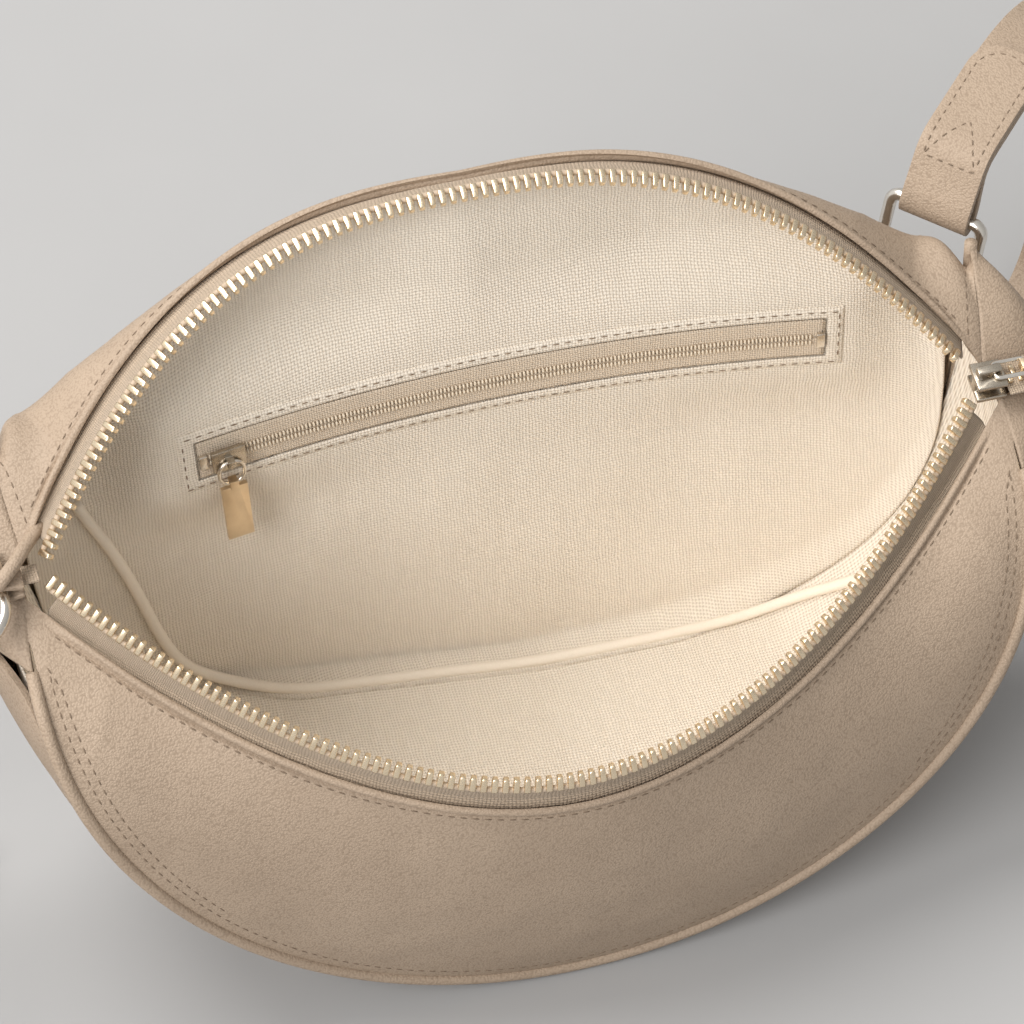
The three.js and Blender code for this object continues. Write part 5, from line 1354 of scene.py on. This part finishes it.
left_strap = strip("left_strap_hide", left_path, lambda at, total: round_tip(at, TAB_ROUND), left_bar,
                   left_place, LEATHER, leather, "left_strap", ["left_strap"])
PRONG_SLOT, SLOT_BACK, SLOT_FORE = 4.0, 4.25, 4.55
slot = bmesh.new()
bmesh.ops.create_cube(slot, size=1)
bmesh.ops.scale(slot, vec=Vector((SLOT_BACK + SLOT_FORE, PRONG_SLOT, fold * 4)) * MM, verts=slot.verts[:])
slot_spot = left_place(*bar_at) + ((SLOT_FORE - SLOT_BACK) / 2, 0, 0)
bmesh.ops.translate(slot, vec=Vector(slot_spot) * MM, verts=slot.verts[:])
cut_out(left_strap, slot)
softened("strap_keeper", leather, 0.45, 3)

# %% [markdown]
# ## Loops, rolled edge and end tab
# A narrow strip round each ring's bar holds it to the bag. The right loop lies on the back wall, so it
# takes its direction from the wall there. The left one grips the zip's head, and the back rim's rolled
# edge runs on over it. A last strip folds over the end of the zip's tail.

# %% Ring loops
loop_near = WIRE + WIRE_CLEAR + LOOP_THICK / 2
RIGHT_SHARE, RIGHT_DEPTH = 0.865, 0.5
loop_spots = [wall_point(BACK, RIGHT_SHARE + s, RIGHT_DEPTH + d) for s, d in (
    (0, 0), (0, SHARE_STEP), (-SHARE_STEP, 0), (SHARE_STEP, 0))]
right_out = unit(np.cross(loop_spots[3] - loop_spots[2], loop_spots[1] - loop_spots[0]))
right_face = unit(right_out - right_bar * right_out.dot(right_bar))
right_down = unit(np.cross(right_bar, right_face))
right_down = -right_down if right_down[2] > 0 else right_down
leg_near = -loop_near + LOOP_THICK + GAP
loop_path = [(LOOP_LEG, leg_near), (LOOP_LEG * 0.7, leg_near + 0.6), (LOOP_LEG * 0.3, loop_near * 0.75)]
loop_path += arc((0, 0), loop_near, math.pi / 2, math.pi * 1.5, 16) + [(LOOP_LEG, -loop_near)]
strip("right_ring_loop_hide", loop_path, lambda at, total: LOOP_WIDE + 0 * at, right_bar,
      lambda d, n: right_centre + right_down * d + right_face * n, LOOP_THICK, leather, "bag",
      ["right_ring_loop"], 0.6, 8, 0.4)

grip_close = TAPE / 2 + GAP + LOOP_THICK / 2
grip_mid = mix(grip_close, loop_near, 0.35)
grip_path = [(HEAD_LONG * 0.75, grip_close), (HEAD_LONG * 0.5, grip_mid)]
grip_path += arc((0, 0), loop_near, math.pi / 2, math.pi * 1.5, 16)
grip_path += [(HEAD_LONG * 0.5, -grip_mid), (HEAD_LONG * 0.75, -grip_close)]
strip("left_ring_loop_hide", grip_path, lambda at, total: LOOP_NARROW + 0 * at, left_bar,
      lambda o, z: left_centre + (o, 0, z), LOOP_THICK, leather, "bag", ["left_ring_loop"],
      0.6, 8, 0.4)

# %% Rolled edge and end tab
EDGE_RADIUS, TAB_WIDE = 1.7, 11.0
HEAD_BEAD = [(-110.5, 26, 120.8), (-113, 23.3, 121.8), (-116.2, 18.4, 123.4), (-119.2, 13.8, 124.3),
             (-121.8, 11, 124.2), (-123.4, 10, 123.2), (-123.8, 9.8, 122.3)]
tube("left_tip_bead", HEAD_BEAD, EDGE_RADIUS, leather, "bag")

tab_rise, tab_reach = TAPE / 2 + GAP + LOOP_THICK / 2, TAIL_LONG + GAP
tab_path = [(tab_reach - 5, tab_rise)] + arc((tab_reach, 0), tab_rise, math.pi / 2, -math.pi / 2, 12)
tab_path += [(tab_reach - 5, -tab_rise), (TAIL_LONG / 2, -tab_rise)]
strip("right_end_tab_hide", tab_path, lambda at, total: TAB_WIDE + 0 * at, np.array([0.0, 1, 0]),
      lambda o, z: np.array([TAIL_X + o, TIP_Y, TIP_Z + z]), LOOP_THICK, leather, "bag",
      ["right_end_tab"], 0.6, 8, 0.4)

# %% [markdown]
# ## Inner pocket
# The pocket is a slit in the back lining, with a folded cloth frame round it. The frame is a grid whose
# middle is cut away. It is laid on the bowed patch, and its outer edge is pressed down like a fold that
# is sewn.

# %% Pocket frame
FRAME_THICK, FRAME_CLOTH = 0.7, 0.5
inner_left, inner_right = POCKET_LEFT + FRAME_END, POCKET_RIGHT - FRAME_END


def flat_spot(co):
    return mix(POCKET_LEFT, POCKET_RIGHT, (co.x + 1) / 2), co.y * FRAME_HIGH / 2


def in_window(along, up):
    return inner_left < along < inner_right and abs(up) < WINDOW_HIGH / 2


bm = bmesh.new()
bmesh.ops.create_grid(bm, x_segments=120, y_segments=24, size=1)
window = [f for f in bm.faces if in_window(*flat_spot(f.calc_center_median()))]
bmesh.ops.delete(bm, geom=window, context="FACES")
layer = bm.loops.layers.uv.new("cloth")
flat_spots = {v: flat_spot(v.co) for v in bm.verts}
for face in bm.faces:
    for loop in face.loops:
        loop[layer].uv = Vector(flat_spots[loop.vert]) * MM
for vert, (along, up) in flat_spots.items():
    lip = min(along - POCKET_LEFT, POCKET_RIGHT - along, FRAME_HIGH / 2 - abs(up))
    lift = FRAME_THICK * float(smooth(-0.2, 1.6, lip))
    vert.co = Vector(patch_point(np.array(along), np.array(up), lift)) * MM
bm.normal_update()
if sum(f.normal.y * f.calc_area() for f in bm.faces) > 0:
    bmesh.ops.reverse_faces(bm, faces=bm.faces[:])
pocket_frame = new_piece("pocket_welt_cloth", bm, linen, "bag", ["pocket_welt"])
fold_cloth = pocket_frame.modifiers.new("thickness", "SOLIDIFY")
fold_cloth.thickness = FRAME_CLOTH * MM
fold_cloth.offset = -1
edge = pocket_frame.modifiers.new("round", "BEVEL")
edge.width = 0.2 * MM
edge.segments = 2
edge.limit_method = "ANGLE"
edge.angle_limit = math.radians(50)
print("pocket frame", len(pocket_frame.data.polygons), "faces")

# %% [markdown]
# ## Pocket zip
# Two narrow tapes fill the window, and a nylon coil closes them. The real coil is one long spiral. From
# outside only its rounded turns are seen, so one small turn is stamped along each tape, like the teeth.

# %% Pocket zip
WINDOW_LEFT, WINDOW_RIGHT = inner_left + GAP, inner_right - GAP
TAPE_EDGE = WINDOW_HIGH / 2 - GAP
POCKET_TAPE_LONG, POCKET_TAPE_TALL, TAPE_LIFT = 157, 5.6, 0.6
for name, low, high in (("upper", GAP / 2, TAPE_EDGE), ("lower", -TAPE_EDGE, -GAP / 2)):
    skin(f"pocket_tape_{name}_cloth", 120, 8,
         lambda u, v: patch_point(mix(WINDOW_LEFT, WINDOW_RIGHT, u), mix(low, high, v), TAPE_LIFT),
         lambda u, v, s: np.stack([u * POCKET_TAPE_LONG, v * POCKET_TAPE_TALL], -1), lambda c: (0, -1, 0),
         pocket_cloth, "bag", [f"pocket_tape_{name}"], TAPE)


def coil_shape():
    bm = bmesh.new()
    bmesh.ops.create_uvsphere(bm, u_segments=8, v_segments=5, radius=0.5)
    bmesh.ops.scale(bm, vec=COIL_SIZE, verts=bm.verts[:])
    return as_mesh("coil_turn", bm)


COIL_SIZE, COIL_UP, COIL_LIFT, COIL_LEAN = (0.62, 1.7, 1.0), 0.95, 1.15, 0.3
COIL_PITCH, COIL_FROM, COIL_TO = 0.95, WINDOW_LEFT + 2.8, WINDOW_RIGHT - 2.8
coil_turn = coil_shape()
for name, side in (("upper", 1), ("lower", -1)):
    places = []
    for along in np.arange(COIL_FROM, COIL_TO, COIL_PITCH):
        here, row = np.array(along), np.array(side * COIL_UP)
        spot = patch_point(here, row, COIL_LIFT)
        ahead = patch_point(here + 0.1, row, COIL_LIFT) - spot
        upward = patch_point(here, row + 0.1, COIL_LIFT) - spot
        places.append(frame_at(spot, ahead, upward + side * COIL_LEAN * ahead))
    node = f"pocket_coil_{name}"
    new_piece(node + "_turns", stamp(coil_turn, places), coil_nylon, "bag", [node])
    print(node, len(places), "turns")

# %% [markdown]
# ## Thread
# Stitching shows on the pocket's frame, along the rims, seams and ends of the walls, and on the strap
# tabs. A texture would blur it. One small rounded stitch is stamped at an even pitch along each line, a
# little above the surface. The pocket's frame comes first.

# %% Stitches of the pocket
def stitch_shape():
    bm = bmesh.new()
    bmesh.ops.create_uvsphere(bm, u_segments=6, v_segments=4, radius=0.5)
    bmesh.ops.rotate(bm, cent=(0, 0, 0), matrix=Matrix.Rotation(math.pi / 2, 3, "Y"), verts=bm.verts[:])
    return as_mesh("stitch", bm)


stitch = stitch_shape()
STITCH_THICK, STITCH_FLAT = 0.42, 0.7


def line_at(length, spots, at):
    return np.array([np.interp(at, length, spots[:, k]) for k in range(3)])


def stitch_line(name, spots, faces, pitch, long, finish, body):
    spots, faces = np.array(spots, float), np.array(faces, float)
    length = lengths_along(spots)
    places = []
    for at in np.arange(pitch / 2, length[-1], pitch):
        first, last = [line_at(length, spots, at + d) for d in (-long / 2, long / 2)]
        side = np.cross(line_at(length, faces, at), last - first)
        size = Matrix.Diagonal((long, STITCH_THICK, STITCH_THICK * STITCH_FLAT, 1))
        places.append(frame_at((first + last) / 2, last - first, side) @ size)
    new_piece(name, stamp(stitch, places), finish, body)
    print(name, len(places), "stitches")


STITCH_IN = 1.3
left, right, high = POCKET_LEFT + STITCH_IN, POCKET_RIGHT - STITCH_IN, FRAME_HIGH / 2 - STITCH_IN
for name, start, stop in (("top", (left, high), (right, high)), ("right", (right, high), (right, -high)),
                          ("bottom", (right, -high), (left, -high)), ("left", (left, -high), (left, high))):
    part = np.linspace(0, 1, 60)
    along, up = mix(start[0], stop[0], part), mix(start[1], stop[1], part)
    spots = patch_point(along, up, FRAME_THICK + 0.02)
    faces = patch_point(along, up, FRAME_THICK + 1) - spots
    # These stitches use the lining thread, whose dark brown is painted shade of the needle holes.
    stitch_line(f"pocket_stitch_{name}", spots, faces, 3.0, 1.7, lining_thread_hole_shade, "bag")

# %% [markdown]
# ### Stitches of the walls
# A row below each rim holds the rolled edge, a row above each seam holds the turned hide, and the front
# panel has a second row at each end. All of them ask the hide itself where it lies, so they follow its
# hollows.

# %% Stitches of the walls
RIM_STITCH, SEAM_STITCH, SEAM_STITCH_TWO, END_STITCH = RIM_CUT + 3.6, 4.7, 7.1, 0.02


def wall_stitches(name, wall, seed, share, drop):
    spots, faces = hide_surface(wall, seed, share, drop)
    stitch_line(name, spots + faces * 0.04, faces, 2.9, 1.7, leather_thread, "bag")


long_share, end_share = np.linspace(0.03, 0.97, 400), np.linspace(0.025, 0.24, 100)
for name, wall, seed in (("front", FRONT, FRONT_SEED), ("back", BACK, BACK_SEED)):
    wall_stitches(f"{name}_rim_stitch", wall, seed, long_share, np.full_like(long_share, RIM_STITCH))
    wall_stitches(f"{name}_seam_stitch", wall, seed, long_share, seam_distance(wall, long_share, SEAM_STITCH))
for name, share in (("left", end_share), ("right", 1 - end_share)):
    drop = seam_distance(FRONT, share, SEAM_STITCH_TWO)
    wall_stitches(f"front_{name}_stitch", FRONT, FRONT_SEED, share, drop)
for name, at in (("left", END_STITCH), ("right", 1 - END_STITCH)):
    share = np.full(60, at)
    deep = seam_distance(BACK, share, SEAM_MARGIN)
    wall_stitches(f"back_{name}_end_stitch", BACK, BACK_SEED, share, np.linspace(4, deep[0] - 2, 60))

# %% [markdown]
# ### Stitches of the straps
# Each tab is sewn round its edge, and a triangle near the ring takes the pull. The lines are drawn
# flat, as distances along and across the strap, and then bent with it.

# %% Stitches of the straps
STRAP_STITCH, STITCH_FROM, TRIANGLE_LONG = 2.2, 13.5, 11.0


def tab_outline():
    half, turn = STRAP_WIDE / 2 - STRAP_STITCH, TAB_LONG - TAB_ROUND
    bend = np.linspace(-math.pi / 2, math.pi / 2, 25)
    rounded = [(turn + half * math.cos(a), half * math.sin(a)) for a in bend]
    return [(STITCH_FROM, -half)] + rounded + [(STITCH_FROM, half)]


def strap_stitches(name, corners, start, rise, place, across, body):
    corners = np.array(corners, float)
    length = lengths_along(corners)
    fine = np.stack([np.interp(np.arange(0, length[-1], 0.4), length, corners[:, k]) for k in range(2)], -1)
    spot = strap_line(start, rise)
    top = LAYER + LEATHER / 2 + 0.03
    spots, above = [np.array([place(*spot(t, n)) + across * w for t, w in fine]) for n in (top, top + 1)]
    stitch_line(name, spots, above - spots, 2.8, 1.5, leather_thread, body)


half = STRAP_WIDE / 2 - STRAP_STITCH
triangle = [(STITCH_FROM, -half), (STITCH_FROM + TRIANGLE_LONG, 0), (STITCH_FROM, half), (STITCH_FROM, -half)]
for name, start, rise, place, across in (("right", RIGHT_START, RIGHT_RISE, right_place, right_bar),
                                         ("left", LEFT_RISE, LEFT_RISE, left_place, left_bar)):
    strap_stitches(f"{name}_tab_stitch", tab_outline(), start, rise, place, across, f"{name}_strap")
    strap_stitches(f"{name}_tab_triangle", triangle, start, rise, place, across, f"{name}_strap")
